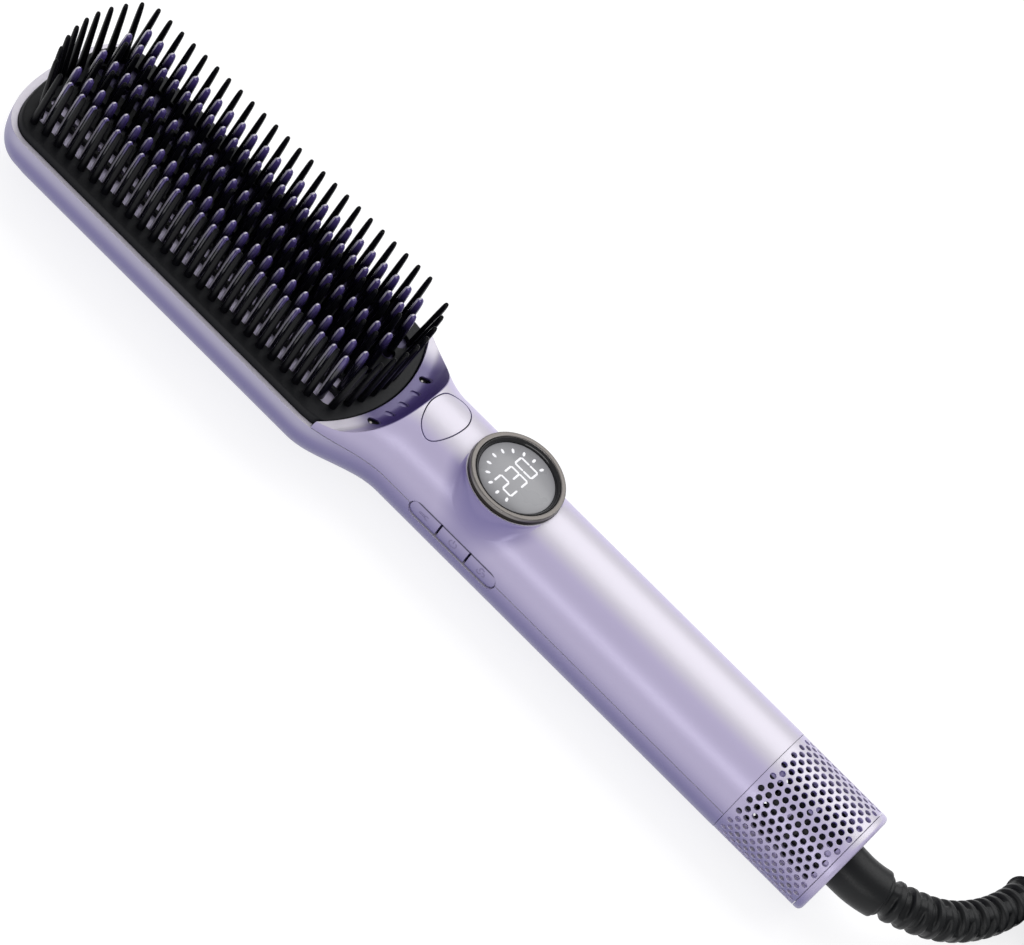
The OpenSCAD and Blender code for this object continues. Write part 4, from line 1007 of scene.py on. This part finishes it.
def bossProfile(across):
    # Collar from its top edge down to the handle, in a direction that is this much across the handle
    c = collar
    footZ, top = display["footZ"], display["radius"] + c["lip"]
    slope = c["spread"]/c["depth"]

    def handlePoint(out):
        return Vector((out, body["axisZ"] + math.sqrt(max(body["handleRadius"]**2 - (out*across)**2, 0))))

    rise = footZ - handlePoint(top).y
    fillet = min(c["fillet"], max(rise, 0)*c["filletShare"])
    # Where the wall of the collar meets the handle, and where its fillet starts and ends
    meet = halved(0, c["deepest"], lambda drop: footZ - drop > handlePoint(top + drop*slope).y)
    start = Vector((top + (meet - fillet)*slope, footZ - (meet - fillet)))
    corner = handlePoint(top + meet*slope)
    out = corner.x
    while fillet > 0 and out*across < body["handleRadius"]*c["grazing"]:
        if (handlePoint(out) - corner).length >= fillet:
            break
        out += c["step"]
    footing = handlePoint(out) - Vector((0, c["sink"]/2))
    line = [Vector((top - c["wall"], footZ - c["sink"])), Vector((top - c["edge"], footZ)),
        Vector((top, footZ - c["edge"]))]
    line += [start*(1 - t)**2 + corner*2*t*(1 - t) + footing*t*t for t in steps(c["filletSteps"])]
    if rise <= c["sink"]:  # nothing of it stands out here
        line = [Vector((top - c["wall"] + c["tuckStep"]*i, footZ - c["tuck"])) for i in range(len(line))]
    line.append(line[-1] - Vector((0, c["foot"])))
    return line + [Vector((top - c["wall"], line[-1].y - c["under"]))]


def addDisplayBoss():  # collar under the display ring that runs out into the handle in a fillet
    rows = []
    for turn in fullTurn(collar["columns"]):
        profile = bossProfile(abs(sinD(turn)))
        rows.append([(display["x"] + p.x*cosD(turn), p.x*sinD(turn), p.y) for p in profile])
    faces = turnedFaces(len(rows), len(rows[0]))
    boss = newObject("displayBoss", meshOf("displayBoss", [p for row in rows for p in row], faces))
    return placed(shaded(boss, 40), paint["pearlPaintedScoop"], "body")


addLowerShell()
addUpperCover()
addDisplayBoss()
print("shells made")


# Bristle bed: black cover with slots, its pins, and the toothed plate under it

# A profile gives the share of the radius at a share of the height
teeth = {"pitch": 4.75, "count": 25, "firstX": -147.9, "tipZ": 42.4, "rootSink": 0.3, "radius": 1.35,
    "sides": 10, "rings": 10, "innerRows": (0, -11.3, 11.3), "outerRows": (-17.66, 17.66),
    "profile": [(0, 1), (0.8, 0.94), (0.9, 0.86), (0.955, 0.68), (0.985, 0.42), (1, 0.08)]}
plate = {"z": 20.8, "thick": 2, "y": 20.2, "x": (-152.5, -28), "corner": 2.5, "cornerSteps": 8,
    "slotLength": 2.6, "slotWidth": 1.8, "slotY": 11.3}
pins = {"radius": 1.3, "tipZ": 46.78, "rootSink": 0.5, "outerY": 22, "outerLean": 0.2, "innerY": 5.6,
    "innerDrop": 1.8, "fanY": 4.8, "fanCount": 4, "tipFan": 1.6, "tipFanCurve": 0.014, "tipFanLean": 3.8,
    "endFanRadius": 44.5, "endFanLean": 1.5, "fanSpread": 0.97, "sides": 8, "rings": 9,
    "profile": [(0, 1), (0.5, 0.82), (0.94, 0.6), (0.975, 0.5), (0.993, 0.32), (1, 0.08)]}
lastX = teeth["firstX"] + (teeth["count"] - 1)*teeth["pitch"]


def addBedCover():
    foot = bed["rimWall"] + bed["gap"]
    rings = [[(x, y, bed["ledgeZ"]) for x, y in bedOutline(foot, scoop["bedRadius"])]]
    for t in steps(bed["edgeSteps"]):
        inset = 1 - cosD(90*t)
        z = bed["topZ"] - bed["shoulder"]*bed["shoulderDrop"]*(1 - sinD(90*t))
        outline = bedOutline(foot + bed["shoulder"]*inset, scoop["bedRadius"] - bed["edge"]*inset)
        rings.append([(x, y, z) for x, y in outline])
    cover = loft("bedCover", rings)
    middle, length = (teeth["firstX"] + lastX)/2, lastX - teeth["firstX"] + bed["slotPast"]
    tools = [prism("slot", stadium(middle, y, length, width), below, above) for y, width in bed["slots"]]
    (x0, x1), y = bed["pocketX"], bed["pocketY"]
    tools.append(prism("pocket", [(x0, -y), (x1, -y), (x1, y), (x0, y)], below, bed["pocketZ"]))
    combined(cover, tools)
    return placed(shaded(cover), paint["erodedBlackNylon"], "body", ("bristle_base",))


def addToothPlate():
    corner, y = plate["corner"], plate["y"] - plate["corner"]
    x0, x1 = plate["x"][0] + corner, plate["x"][1] - corner
    outline = []
    for cx, cy, first in ((x1, y, 0), (x0, y, 90), (x0, -y, 180), (x1, -y, 270)):
        outline += [(cx + corner*cosD(first + 90*t), cy + corner*sinD(first + 90*t))
            for t in steps(plate["cornerSteps"])]
    sheet = prism("toothPlate", outline, plate["z"], plate["z"] + plate["thick"])
    tools = []
    for i in range(1, teeth["count"] - 2, 2):
        x = teeth["firstX"] + (i + 0.5)*teeth["pitch"]
        for y in (-plate["slotY"], plate["slotY"]):
            slot = stadium(x, y, plate["slotLength"], plate["slotWidth"], 90, 12)
            tools.append(prism("airSlot", slot, plate["z"] - 1, plate["z"] + plate["thick"] + 1))
    combined(sheet, [joined("airSlots", tools)])
    return placed(shaded(sheet), paint["ceramicPlatePaintedLight"], "body", ("heated_plate",))


def pinTree(name, material, settings):
    # One turned pin with the given profile, set on every point of the input and leaned as it says
    profile = settings["profile"]
    tree, given = newTree(name, [("Radius", "Float", settings["radius"]*milli),
        ("Sides", "Int", settings["sides"]), ("Rings", "Int", settings["rings"])])
    line = addNode(tree, "GeometryNodeCurvePrimitiveLine", {"Start": (0, 0, 0), "End": (0, 0, 1)})
    even = addNode(tree, "GeometryNodeResampleCurve", {"Curve": line.outputs[0], "Count": given["Rings"]})
    along = addNode(tree, "GeometryNodeSplineParameter").outputs["Factor"]
    # Rings crowd together towards the round tip
    left = addNode(tree, "ShaderNodeMath", {0: 1, 1: along}, operation="SUBTRACT").outputs[0]
    cubed = addNode(tree, "ShaderNodeMath", {0: left, 1: 3}, operation="POWER").outputs[0]
    up = addNode(tree, "ShaderNodeMath", {0: 1, 1: cubed}, operation="SUBTRACT").outputs[0]
    lift = addNode(tree, "ShaderNodeCombineXYZ", {"Z": up})
    crowded = addNode(tree, "GeometryNodeSetPosition", {"Geometry": even.outputs[0],
        "Position": lift.outputs[0]})
    position = addNode(tree, "GeometryNodeInputPosition").outputs[0]
    height = addNode(tree, "ShaderNodeSeparateXYZ", {0: position})
    shape = addNode(tree, "ShaderNodeFloatCurve", {"Value": height.outputs["Z"]})
    points = shape.mapping.curves[0].points
    while len(points) > 2:
        points.remove(points[1])
    points[0].location, points[1].location = profile[0], profile[-1]
    for x, y in profile[1:-1]:
        points.new(x, y)
    shape.mapping.update()
    wide = addNode(tree, "ShaderNodeMath", {0: shape.outputs[0], 1: given["Radius"]}, operation="MULTIPLY")
    sized = addNode(tree, "GeometryNodeSetCurveRadius", {"Curve": crowded.outputs[0],
        "Radius": wide.outputs[0]})
    circle = addNode(tree, "GeometryNodeCurvePrimitiveCircle", {"Resolution": given["Sides"], "Radius": 1})
    solid = addNode(tree, "GeometryNodeCurveToMesh", {"Curve": sized.outputs[0],
        "Profile Curve": circle.outputs[0], "Fill Caps": True})
    if "Scale" in solid.inputs:
        tree.links.new(wide.outputs[0], solid.inputs["Scale"])
    lean = addNode(tree, "GeometryNodeInputNamedAttribute", {"Name": "lean"}, data_type="FLOAT_VECTOR")
    reach = addNode(tree, "GeometryNodeInputNamedAttribute", {"Name": "reach"}, data_type="FLOAT")
    turn = addNode(tree, "FunctionNodeAlignRotationToVector", {"Vector": lean.outputs[0]}, axis="Z")
    size = addNode(tree, "ShaderNodeCombineXYZ", {"X": 1, "Y": 1, "Z": reach.outputs[0]})
    stood = addNode(tree, "GeometryNodeInstanceOnPoints", {"Points": given["Geometry"],
        "Instance": solid.outputs[0], "Rotation": turn.outputs[0], "Scale": size.outputs[0]})
    flat = addNode(tree, "GeometryNodeSetShadeSmooth", {0: stood.outputs[0], "Shade Smooth": True})
    finishTree(tree, flat.outputs[0], material)
    return tree


def feet(name, rods):  # points with the direction and length of the rod that stands on each
    mesh = bpy.data.meshes.new(name)
    mesh.from_pydata([Vector(a)*milli for a, b in rods], [], [])
    mesh.attributes.new("lean", "FLOAT_VECTOR", "POINT")
    mesh.attributes.new("reach", "FLOAT", "POINT")
    for i, (a, b) in enumerate(rods):
        mesh.attributes["lean"].data[i].vector = (Vector(b) - Vector(a)).normalized()
        mesh.attributes["reach"].data[i].value = (Vector(b) - Vector(a)).length*milli
    return mesh


def addRods(name, settings, rods, material):
    tree = pinTree(name + "Tree", paint[material], settings)
    obj = runTree(name, tree, feet(name + "Feet", rods), {"Radius": settings["radius"]*milli,
        "Sides": settings["sides"], "Rings": settings["rings"]})
    return placed(obj, paint[material], "body")


def addTeeth():
    rods = []
    z0 = plate["z"] + plate["thick"] - teeth["rootSink"]
    for y in teeth["innerRows"] + teeth["outerRows"]:
        half = 0.5 if y in teeth["outerRows"] else 0  # the outer rows stand between the teeth of the others
        for i in range(teeth["count"] - (1 if half else 0)):
            x = teeth["firstX"] + (i + half)*teeth["pitch"]
            rods.append(((x, y, z0), (x, y, teeth["tipZ"])))
    return addRods("heatedTeeth", teeth, rods, "ceramicCoatedAluminium")


def addPins():
    rods = []
    z0, z1 = bed["topZ"] - pins["rootSink"], pins["tipZ"]
    for i in range(teeth["count"] - 1):
        for s in (-1, 1):
            x = teeth["firstX"] + i*teeth["pitch"]
            rods.append(((x, s*(pins["outerY"] - pins["outerLean"]), z0), (x, s*pins["outerY"], z1)))
            x += teeth["pitch"]/2
            rods.append(((x, s*pins["innerY"], z0), (x, s*pins["innerY"], z1 - pins["innerDrop"])))
    for k in range(-pins["fanCount"], pins["fanCount"] + 1):
        y = k*pins["fanY"]
        x = body["tipX"] + pins["tipFan"] + pins["tipFanCurve"]*y*y
        rods.append(((x + pins["tipFanLean"], y*pins["fanSpread"], z0), (x, y, z1)))
        x = scoop["centreX"] + math.sqrt(pins["endFanRadius"]**2 - y*y)
        rods.append(((x - pins["endFanLean"], y*pins["fanSpread"], z0), (x, y, z1)))
    return addRods("blackPins", pins, rods, "polishedBlackNylon")


addBedCover()
addToothPlate()
addTeeth()
addPins()
print("bristle bed made")


# Display: window with its light marks, in the ring of the frame

marks = {"lift": 0.04, "sink": 0.2,
    "tickRadius": 9, "tickSpan": 108, "ticks": 11, "tickLength": 1.7, "tickWidth": 0.8,
    "digits": "230", "digitHeight": 6.4, "digitWidth": 3.2, "digitStep": 5, "stroke": 0.62, "shift": -0.4}
segments = {"0": "abcdef", "2": "abged", "3": "abgcd"}


def bar(start, end, width):
    # Flat bar with pointed ends, as the segments of a display have
    a, b = Vector(start), Vector(end)
    along = (b - a).normalized()*width/2
    across = Vector((-along.y, along.x))
    outline = [a, a + along + across, b - along + across, b, b - along - across, a + along - across]
    return prism("bar", [(p.x, p.y) for p in outline], display["lensZ"] - marks["sink"],
        display["lensZ"] + marks["lift"])


def addDisplayRings():
    d, r = display, display["round"]
    centre = (d["x"], 0)
    corner = [(r*sinD(90*t), r*(1 - cosD(90*t))) for t in steps(d["roundSteps"])]
    ring = [(d["ringBore"], d["footZ"]), (d["radius"], d["footZ"])]
    ring += [(d["radius"] - b, d["topZ"] - r + a) for a, b in corner]
    ring += [(d["ringBore"] + b, d["topZ"] - r + a) for a, b in reversed(corner)]
    placed(shaded(lathe("displayRing", ring, centre, d["sides"]), 40), paint["turnedGunmetal"], "body",
        ("display_bezel",))
    rim, lens = d["surroundRadius"], d["lensRadius"]
    bore = lens + d["surroundGap"]
    surround = [(bore, d["footZ"]), (rim, d["footZ"])]
    surround += [(rim - a, d["topZ"] - b) for a, b in d["surroundEdge"]] + [(bore, d["lensZ"])]
    placed(shaded(lathe("windowSurround", surround, centre, d["sides"]), 50), paint["glossBlackAbs"], "body",
        ("display_surround",))
    glass = [(0, d["footZ"]), (lens, d["footZ"]), (lens, d["lensZ"] - d["lensRound"]),
        (lens - d["lensRound"], d["lensZ"]), (0, d["lensZ"])]
    placed(shaded(lathe("windowGlass", glass, centre, d["sides"]), 50), paint["tintedGlass"], "body",
        ("display_lens",))


def addMarks():
    m = marks
    bars = []
    for t in steps(m["ticks"] - 1):
        turn = 180 + mix(-m["tickSpan"], m["tickSpan"], t)
        start, end = [(display["x"] + r*cosD(turn), r*sinD(turn))
            for r in (m["tickRadius"] - m["tickLength"]/2, m["tickRadius"] + m["tickLength"]/2)]
        bars.append(bar(start, end, m["tickWidth"]))
    w, h = m["digitWidth"]/2, m["digitHeight"]/2
    # Ends of the segments in a digit's own frame: across to the right, and up
    ends = {"a": ((-w, h), (w, h)), "b": ((w, h), (w, 0)), "c": ((w, 0), (w, -h)), "d": ((-w, -h), (w, -h)),
        "e": ((-w, 0), (-w, -h)), "f": ((-w, h), (-w, 0)), "g": ((-w, 0), (w, 0))}
    for i, digit in enumerate(m["digits"]):
        middle = (i - 1)*m["digitStep"]
        for name in segments[digit]:
            (u0, v0), (u1, v1) = ends[name]
            # The digits read from the near side to the far side, with their tops towards the head
            x = display["x"] + m["shift"]
            bars.append(bar((x - v0, middle + u0), (x - v1, middle + u1), m["stroke"]))
    return placed(joined("displayMarks", bars), paint["whiteLed"], "body")


addDisplayRings()
addMarks()
print("display made")


# Buttons: signs on the three side keys, and the flush cool shot button

signs = {"stroke": 0.34, "lift": 0.03, "depth": 0.15, "size": 1.5, "arcSteps": 20}


def ribbon(points):
    # Flat stroke along points of the key's face, laid on its round surface
    r = body["handleRadius"] - keys["sink"] + signs["lift"]
    line = [Vector(p) for p in points]
    left, right = [], []
    for i, p in enumerate(line):
        along = (line[min(i + 1, len(line) - 1)] - line[max(i - 1, 0)]).normalized()*signs["stroke"]/2
        left.append((p.x - along.y, p.y + along.x))
        right.append((p.x + along.y, p.y - along.x))

    def laid(q, drop):
        z = q[1] - body["axisZ"]
        return (q[0], -math.sqrt((r - drop)**2 - z*z), q[1])

    d = signs["depth"]
    return loft("ribbon", [[laid(a, 0), laid(b, 0), laid(b, d), laid(a, d)] for a, b in zip(left, right)])


def arc(x, z, r, start, end):
    turns = [mix(start, end, t) for t in steps(signs["arcSteps"])]
    return [(x + r*cosD(turn), z + r*sinD(turn)) for turn in turns]


def addSigns():
    z, s = keys["z"], signs["size"]
    xs = [keys["x"] + (a + b)/2 for a, b in zip(keys["ends"], keys["ends"][1:])]
    thermometer = [ribbon(arc(xs[0] + s*0.6, z, s*0.45, 40, 320)),
        ribbon([(xs[0] + s*0.25, z + 0.3), (xs[0] - s, z + 0.3), (xs[0] - s*1.15, z), (xs[0] - s, z - 0.3),
            (xs[0] + s*0.25, z - 0.3)])]
    power = [ribbon(arc(xs[1], z, s*0.85, 125, 415)), ribbon([(xs[1], z + s*0.15), (xs[1], z + s*1.1)])]
    fan = []
    for k in range(3):
        a = 90 + 120*k
        fan.append(ribbon(arc(xs[2] + s*0.5*cosD(a), z + s*0.5*sinD(a), s*0.5, a + 150, a - 60)))
    for name, strokes, bodyName in (("temperatureSign", thermometer, "temperature_button_body"),
            ("powerSign", power, "power_button_body"), ("fanSign", fan, "fan_button_body")):
        placed(joined(name, strokes), paint["printedGrey"], bodyName)


def addEggButton():
    core = prism("eggButton", eggOutline(0), egg["footZ"], above)
    rounded = handleRound(body["handleRadius"] - egg["sink"], egg["x"] - egg["reach"],
        egg["x"] + egg["reach"])
    combined(core, [rounded], "INTERSECT")
    return placed(shaded(core, 25), paint["pearlPaintedAbs"], "cool_button_body",
        ("cool_button",))


def addKeys():
    k = keys
    names = ("temperature", "power", "fan")
    (y0, y1), (z0, z1) = k["flangeY"], k["flangeZ"]
    for name, a, b in zip(names, k["ends"], k["ends"][1:]):
        x0, x1 = k["x"] + a + k["gap"], k["x"] + b - k["gap"]
        key = keysBlock(-k["gap"], -body["handleRadius"], k["backY"])
        key.name = name + "Key"
        near, far = k["slabY"]
        slab = prism("slab", [(x0, near), (x1, near), (x1, far), (x0, far)], *k["slabZ"])
        combined(key, [slab, handleRound(body["handleRadius"] - k["sink"], x0 - 1, x1 + 1)], "INTERSECT")
        # The flange that holds the key in its recess is wider at the two ends of the row
        f0, f1 = x0 - (k["wing"] if name == names[0] else 0), x1 + (k["wing"] if name == names[-1] else 0)
        combined(key, [prism("flange", [(f0, y0), (f1, y0), (f1, y1), (f0, y1)], z0, z1)], "UNION")
        placed(shaded(key, 25), paint["pearlPaintedKeys"], name + "_button_body",
            (name + "_button",))


addKeys()
addSigns()
addEggButton()
print("buttons made")


# Inlet cap: sleeve with round perforations in a staggered pattern

sleeve = {"x0": 125.6, "x1": 156.3, "radius": 17.9, "bore": 16.7, "holeRadius": 0.925, "holesRound": 24,
    "step": 2.84, "firstX": 127.9, "rows": 10, "edge": 0.1, "weld": 0.02, "stripParts": 4}
capEnd = {"x": 156.3, "thick": 2.7, "hole": 8.4, "holeRound": 0.5, "round": 1.6, "seatRadius": 16,
    "seatDepth": 0.6, "step": 0.2, "inset": 0.1, "roundSteps": 10, "holeSteps": 4, "sides": 192}


def holeCell():
    # One tile of the wall round one hole: x along the cap, y round it, z outwards
    s = sleeve
    halfX = s["step"]/2
    halfY = math.pi*s["radius"]/(2*s["holesRound"])
    wall = s["radius"] - s["bore"]
    quarter, edge = [(1, 0), (1, 0.5), (1, 1), (0.5, 1)], []
    for _ in range(4):
        edge += quarter
        quarter = [(-y, x) for x, y in quarter]
    corners = [(halfX*x, halfY*y) for x, y in edge]
    count = len(corners)
    rim = [(s["holeRadius"]*cosD(turn), s["holeRadius"]*sinD(turn)) for turn in fullTurn(count)]
    grow = 1 + s["edge"]/s["holeRadius"]
    rings = [[(x, y, 0) for x, y in corners], [(x*grow, y*grow, 0) for x, y in rim],
        [(x, y, -s["edge"]) for x, y in rim], [(x, y, -wall) for x, y in rim],
        [(x, y, -wall) for x, y in corners]]
    points = [Vector(p)*milli for ring in rings for p in ring]
    mesh = bpy.data.meshes.new("holeCell")
    mesh.from_pydata(points, [], tubeFaces(len(rings), count))
    return newObject("holeCell", mesh)


def sleeveTree(material):
    # Rows of tiles along each column, columns side by side, then the flat sheet rolled into a sleeve
    s = sleeve
    tree, given = newTree("perforatedSleeve", [("Holes in a row", "Int", s["rows"]),
        ("Hole step", "Float", s["step"]*milli), ("Columns", "Int", 2*s["holesRound"]),
        ("Column width", "Float", math.pi*s["radius"]/s["holesRound"]*milli),
        ("Radius", "Float", s["radius"]*milli), ("First hole", "Float", s["firstX"]*milli),
        ("Tile", "Object", None)])
    tile = addNode(tree, "GeometryNodeObjectInfo", {"Object": given["Tile"]})
    back = addNode(tree, "ShaderNodeCombineXYZ", {"X": given["Hole step"]})
    row = addNode(tree, "GeometryNodeMeshLine", {"Count": given["Holes in a row"], "Offset": back.outputs[0]})
    rowTiles = addNode(tree, "GeometryNodeInstanceOnPoints", {"Points": row.outputs[0],
        "Instance": tile.outputs["Geometry"]})
    across = addNode(tree, "ShaderNodeCombineXYZ", {"Y": given["Column width"]})
    columns = addNode(tree, "GeometryNodeMeshLine", {"Count": given["Columns"], "Offset": across.outputs[0]})
    index = addNode(tree, "GeometryNodeInputIndex").outputs[0]
    odd = addNode(tree, "ShaderNodeMath", {0: index, 1: 2}, operation="MODULO").outputs[0]
    halfStep = addNode(tree, "ShaderNodeMath", {0: given["Hole step"], 1: 0.5}, operation="MULTIPLY")
    slide = addNode(tree, "ShaderNodeMath", {0: odd, 1: halfStep.outputs[0], 2: given["First hole"]},
        operation="MULTIPLY_ADD")
    shift = addNode(tree, "ShaderNodeCombineXYZ", {"X": slide.outputs[0]})
    staggered = addNode(tree, "GeometryNodeSetPosition", {"Geometry": columns.outputs[0],
        "Offset": shift.outputs[0]})
    sheet = addNode(tree, "GeometryNodeInstanceOnPoints", {"Points": staggered.outputs[0],
        "Instance": rowTiles.outputs[0]})
    real = addNode(tree, "GeometryNodeRealizeInstances", {0: sheet.outputs[0]})
    both = addNode(tree, "GeometryNodeJoinGeometry")
    tree.links.new(real.outputs[0], both.inputs[0])
    tree.links.new(given["Geometry"], both.inputs[0])
    position = addNode(tree, "GeometryNodeInputPosition").outputs[0]
    place = addNode(tree, "ShaderNodeSeparateXYZ", {0: position})
    angle = addNode(tree, "ShaderNodeMath", {0: place.outputs["Y"], 1: given["Radius"]}, operation="DIVIDE")
    reach = addNode(tree, "ShaderNodeMath", {0: place.outputs["Z"], 1: given["Radius"]}, operation="ADD")
    parts = []
    for kind in ("SINE", "COSINE"):
        turned = addNode(tree, "ShaderNodeMath", {0: angle.outputs[0]}, operation=kind)
        parts.append(addNode(tree, "ShaderNodeMath", {0: turned.outputs[0], 1: reach.outputs[0]},
            operation="MULTIPLY").outputs[0])
    raised = addNode(tree, "ShaderNodeMath", {0: parts[1], 1: body["axisZ"]*milli}, operation="ADD")
    onRound = addNode(tree, "ShaderNodeCombineXYZ", {"X": place.outputs["X"], "Y": parts[0],
        "Z": raised.outputs[0]})
    rolled = addNode(tree, "GeometryNodeSetPosition", {"Geometry": both.outputs[0],
        "Position": onRound.outputs[0]})
    merged = addNode(tree, "GeometryNodeMergeByDistance", {"Geometry": rolled.outputs[0],
        "Distance": s["weld"]*milli})
    finishTree(tree, merged.outputs[0], material)
    return tree


def sleeveEnds():
    # Plain strips at both ends of every column, as flat sheet
    s = sleeve
    width, wall = math.pi*s["radius"]/s["holesRound"], s["radius"] - s["bore"]
    part = width/s["stripParts"]
    points, faces = [], []
    for column in range(2*s["holesRound"]):
        first = s["firstX"] + s["step"]/2*(column % 2) - s["step"]/2
        for x0, x1 in ((s["x0"], first), (first + s["rows"]*s["step"], s["x1"])):
            if x1 - x0 < s["weld"]:  # the holes of every other column reach the end
                continue
            for i in range(s["stripParts"]):
                y0 = column*width - width/2 + i*part
                n = len(points)
                points += [(x, y, z) for x in (x0, x1) for y in (y0, y0 + part) for z in (0, -wall)]
                faces += [(n, n + 2, n + 6, n + 4), (n + 1, n + 5, n + 7, n + 3)]
                faces.append((n, n + 1, n + 3, n + 2) if x0 == s["x0"] else (n + 4, n + 6, n + 7, n + 5))
    mesh = bpy.data.meshes.new("sleeveEnds")
    mesh.from_pydata([Vector(p)*milli for p in points], [], faces)
    return mesh


def addSleeve():
    s = sleeve
    tile = holeCell()
    tree = sleeveTree(paint["pearlPaintedAbs"])
    obj = runTree("perforatedSleeve", tree, sleeveEnds(), {"Holes in a row": s["rows"],
        "Hole step": s["step"]*milli, "Columns": 2*s["holesRound"],
        "Column width": math.pi*s["radius"]/s["holesRound"]*milli, "Radius": s["radius"]*milli,
        "First hole": s["firstX"]*milli, "Tile": tile})
    bpy.data.objects.remove(tile)
    welded(obj.data, s["weld"])
    return placed(shaded(obj, 35), paint["pearlPaintedAbs"], "inlet_cap", ("inlet_grille",))


def addCapEnd():
    c = capEnd
    x, top, r = c["x"], c["x"] + c["thick"], body["handleRadius"] - c["inset"]
    profile = [(c["hole"], x + c["seatDepth"]), (c["seatRadius"], x + c["seatDepth"]),
        (c["seatRadius"], x + c["step"]), (r, x + c["step"])]
    profile += [(r - c["round"]*(1 - cosD(90*t)), top - c["round"]*(1 - sinD(90*t)))
        for t in steps(c["roundSteps"])]
    profile += [(c["hole"] + c["holeRound"]*(1 - sinD(90*t)), top - c["holeRound"]*(1 - cosD(90*t)))
        for t in steps(c["holeSteps"])]
    cap = lathe("capEnd", profile, (0, body["axisZ"]), c["sides"], lying=True)
    return placed(shaded(cap, 40), paint["pearlPaintedAbs"], "inlet_cap", ("cap_end",))


addSleeve()
addCapEnd()
print("inlet cap made")


# Finishes of the pieces that come from the frame as they are

carried = {
    "pearlPaintedCage": ["filter_cage"],
    "glossBlackAbs": ["display_holder"],
    "zincPlatedSteel": ["heater_clamp", "plate_screws", "shell_screws", "motor_bearings", "motor_rotor"],
    "nickelPlate": ["plug_pins", "heater_coil"],
    "pressedMica": ["heater_strip", "heater_sleeve", "heater_frame"],
    "brassCase": ["thermal_fuse"],
    "dippedResin": ["temperature_sensor"],
    "solderMask": ["main_board", "display_board", "button_board", "cool_switch"],
    "mouldedEpoxy": ["ion_generator", "air_duct"],
    "glassFilledNylon": ["ion_emitters", "fan_housing", "impeller"],
    "enamelledCopper": ["motor_stator"],
    "wovenSteel": ["filter_mesh"],
    "satinRubber": ["motor_sleeve", "tail_frame"],
    "extrudedPvc": ["supply_leads"],
}
for name, members in carried.items():
    for member in members:
        materials = nodes[member].data.materials
        if not len(materials):
            materials.append(paint[name])
        for i in range(len(materials)):
            materials[i] = paint[name]
print("frame pieces painted")


# Floor, lamps and the pale surroundings

studio = {"surroundings": "#ffffff", "ambient": 0.5, "floorLight": "#ffffff", "floorDark": "#f8f8fa",
    "floorGlow": 0.82, "floorSeen": "#9a9a9a", "floorBounce": "#8c8c90", "floorHalf": 3000, "floorZ": -0.05,
    "cloudScale": 3}
lamps = [
    # Name, direction to it from the brush, distance, width along and across, and watts
    ("farSoftbox", (0.05, 0.58, 0.81), 1.2, 1.7, 1.1, 10.5),
    ("nearStrip", (0.15, -1, 0.46), 1.3, 1.6, 0.3, 4.6),
]


def addFloor():
    half = studio["floorHalf"]
    corners = [(-half, -half), (half, -half), (half, half), (-half, half)]
    sheet = meshOf("floor", [(x, y, studio["floorZ"]) for x, y in corners], [(0, 1, 2, 3)])
    floor = newObject("floor", sheet)
    material, tree = newMaterial("paleFloor")
    place = addNode(tree, "ShaderNodeTexCoord").outputs["Object"]
    cloud = addNode(tree, "ShaderNodeTexNoise", {"Vector": place, "Scale": studio["cloudScale"]})
    colour = addNode(tree, "ShaderNodeMix", {0: cloud.outputs["Fac"], "A": linearColour(studio["floorDark"]),
        "B": linearColour(studio["floorLight"])}, data_type="RGBA")
    # White to the eye with a faint shadow, and a quiet grey as a source of bounced light
    path = addNode(tree, "ShaderNodeLightPath").outputs
    seen = addNode(tree, "ShaderNodeMath", {0: path["Is Camera Ray"], 1: path["Is Glossy Ray"]},
        operation="MAXIMUM").outputs[0]
    seen = addNode(tree, "ShaderNodeMath", {0: seen, 1: path["Is Transmission Ray"]},
        operation="MAXIMUM").outputs[0]
    glow = addNode(tree, "ShaderNodeEmission", {"Color": colour.outputs["Result"],
        "Strength": studio["floorGlow"]})
    faint = addNode(tree, "ShaderNodeBsdfDiffuse", {"Color": linearColour(studio["floorSeen"])})
    bright = addNode(tree, "ShaderNodeAddShader", {0: glow.outputs[0], 1: faint.outputs[0]})
    quiet = addNode(tree, "ShaderNodeBsdfDiffuse", {"Color": linearColour(studio["floorBounce"])})
    shader = addNode(tree, "ShaderNodeMixShader", {0: seen, 1: quiet.outputs[0], 2: bright.outputs[0]})
    addNode(tree, "ShaderNodeOutputMaterial", {"Surface": shader.outputs[0]})
    floor.data.materials.append(material)


def addLamps():
    for name, direction, distance, long, short, watts in lamps:
        data = bpy.data.lights.new(name, "AREA")
        data.shape = "RECTANGLE"
        data.size = long
        data.size_y = short
        data.energy = watts
        lamp = newObject(name, data)
        back = Vector(direction).normalized()
        side = Vector((1, 0, 0))
        side = (side - back*side.dot(back)).normalized()
        lamp.matrix_world = placement(side, back.cross(side), back, back*distance)


def addSurroundings():
    world = bpy.data.worlds.new("studio")
    scene.world = world
    world.use_nodes = True
    tree = world.node_tree
    tree.nodes.clear()
    path = addNode(tree, "ShaderNodeLightPath").outputs
    seen = addNode(tree, "ShaderNodeMath", {0: path["Is Camera Ray"], 1: path["Is Transmission Ray"]},
        operation="MAXIMUM").outputs[0]
    strength = addNode(tree, "ShaderNodeMapRange", {"Value": seen, "To Min": studio["ambient"], "To Max": 1})
    air = addNode(tree, "ShaderNodeBackground", {"Color": linearColour(studio["surroundings"]),
        "Strength": strength.outputs[0]})
    addNode(tree, "ShaderNodeOutputWorld", {"Surface": air.outputs[0]})


addFloor()
addLamps()
addSurroundings()
print("studio lit")
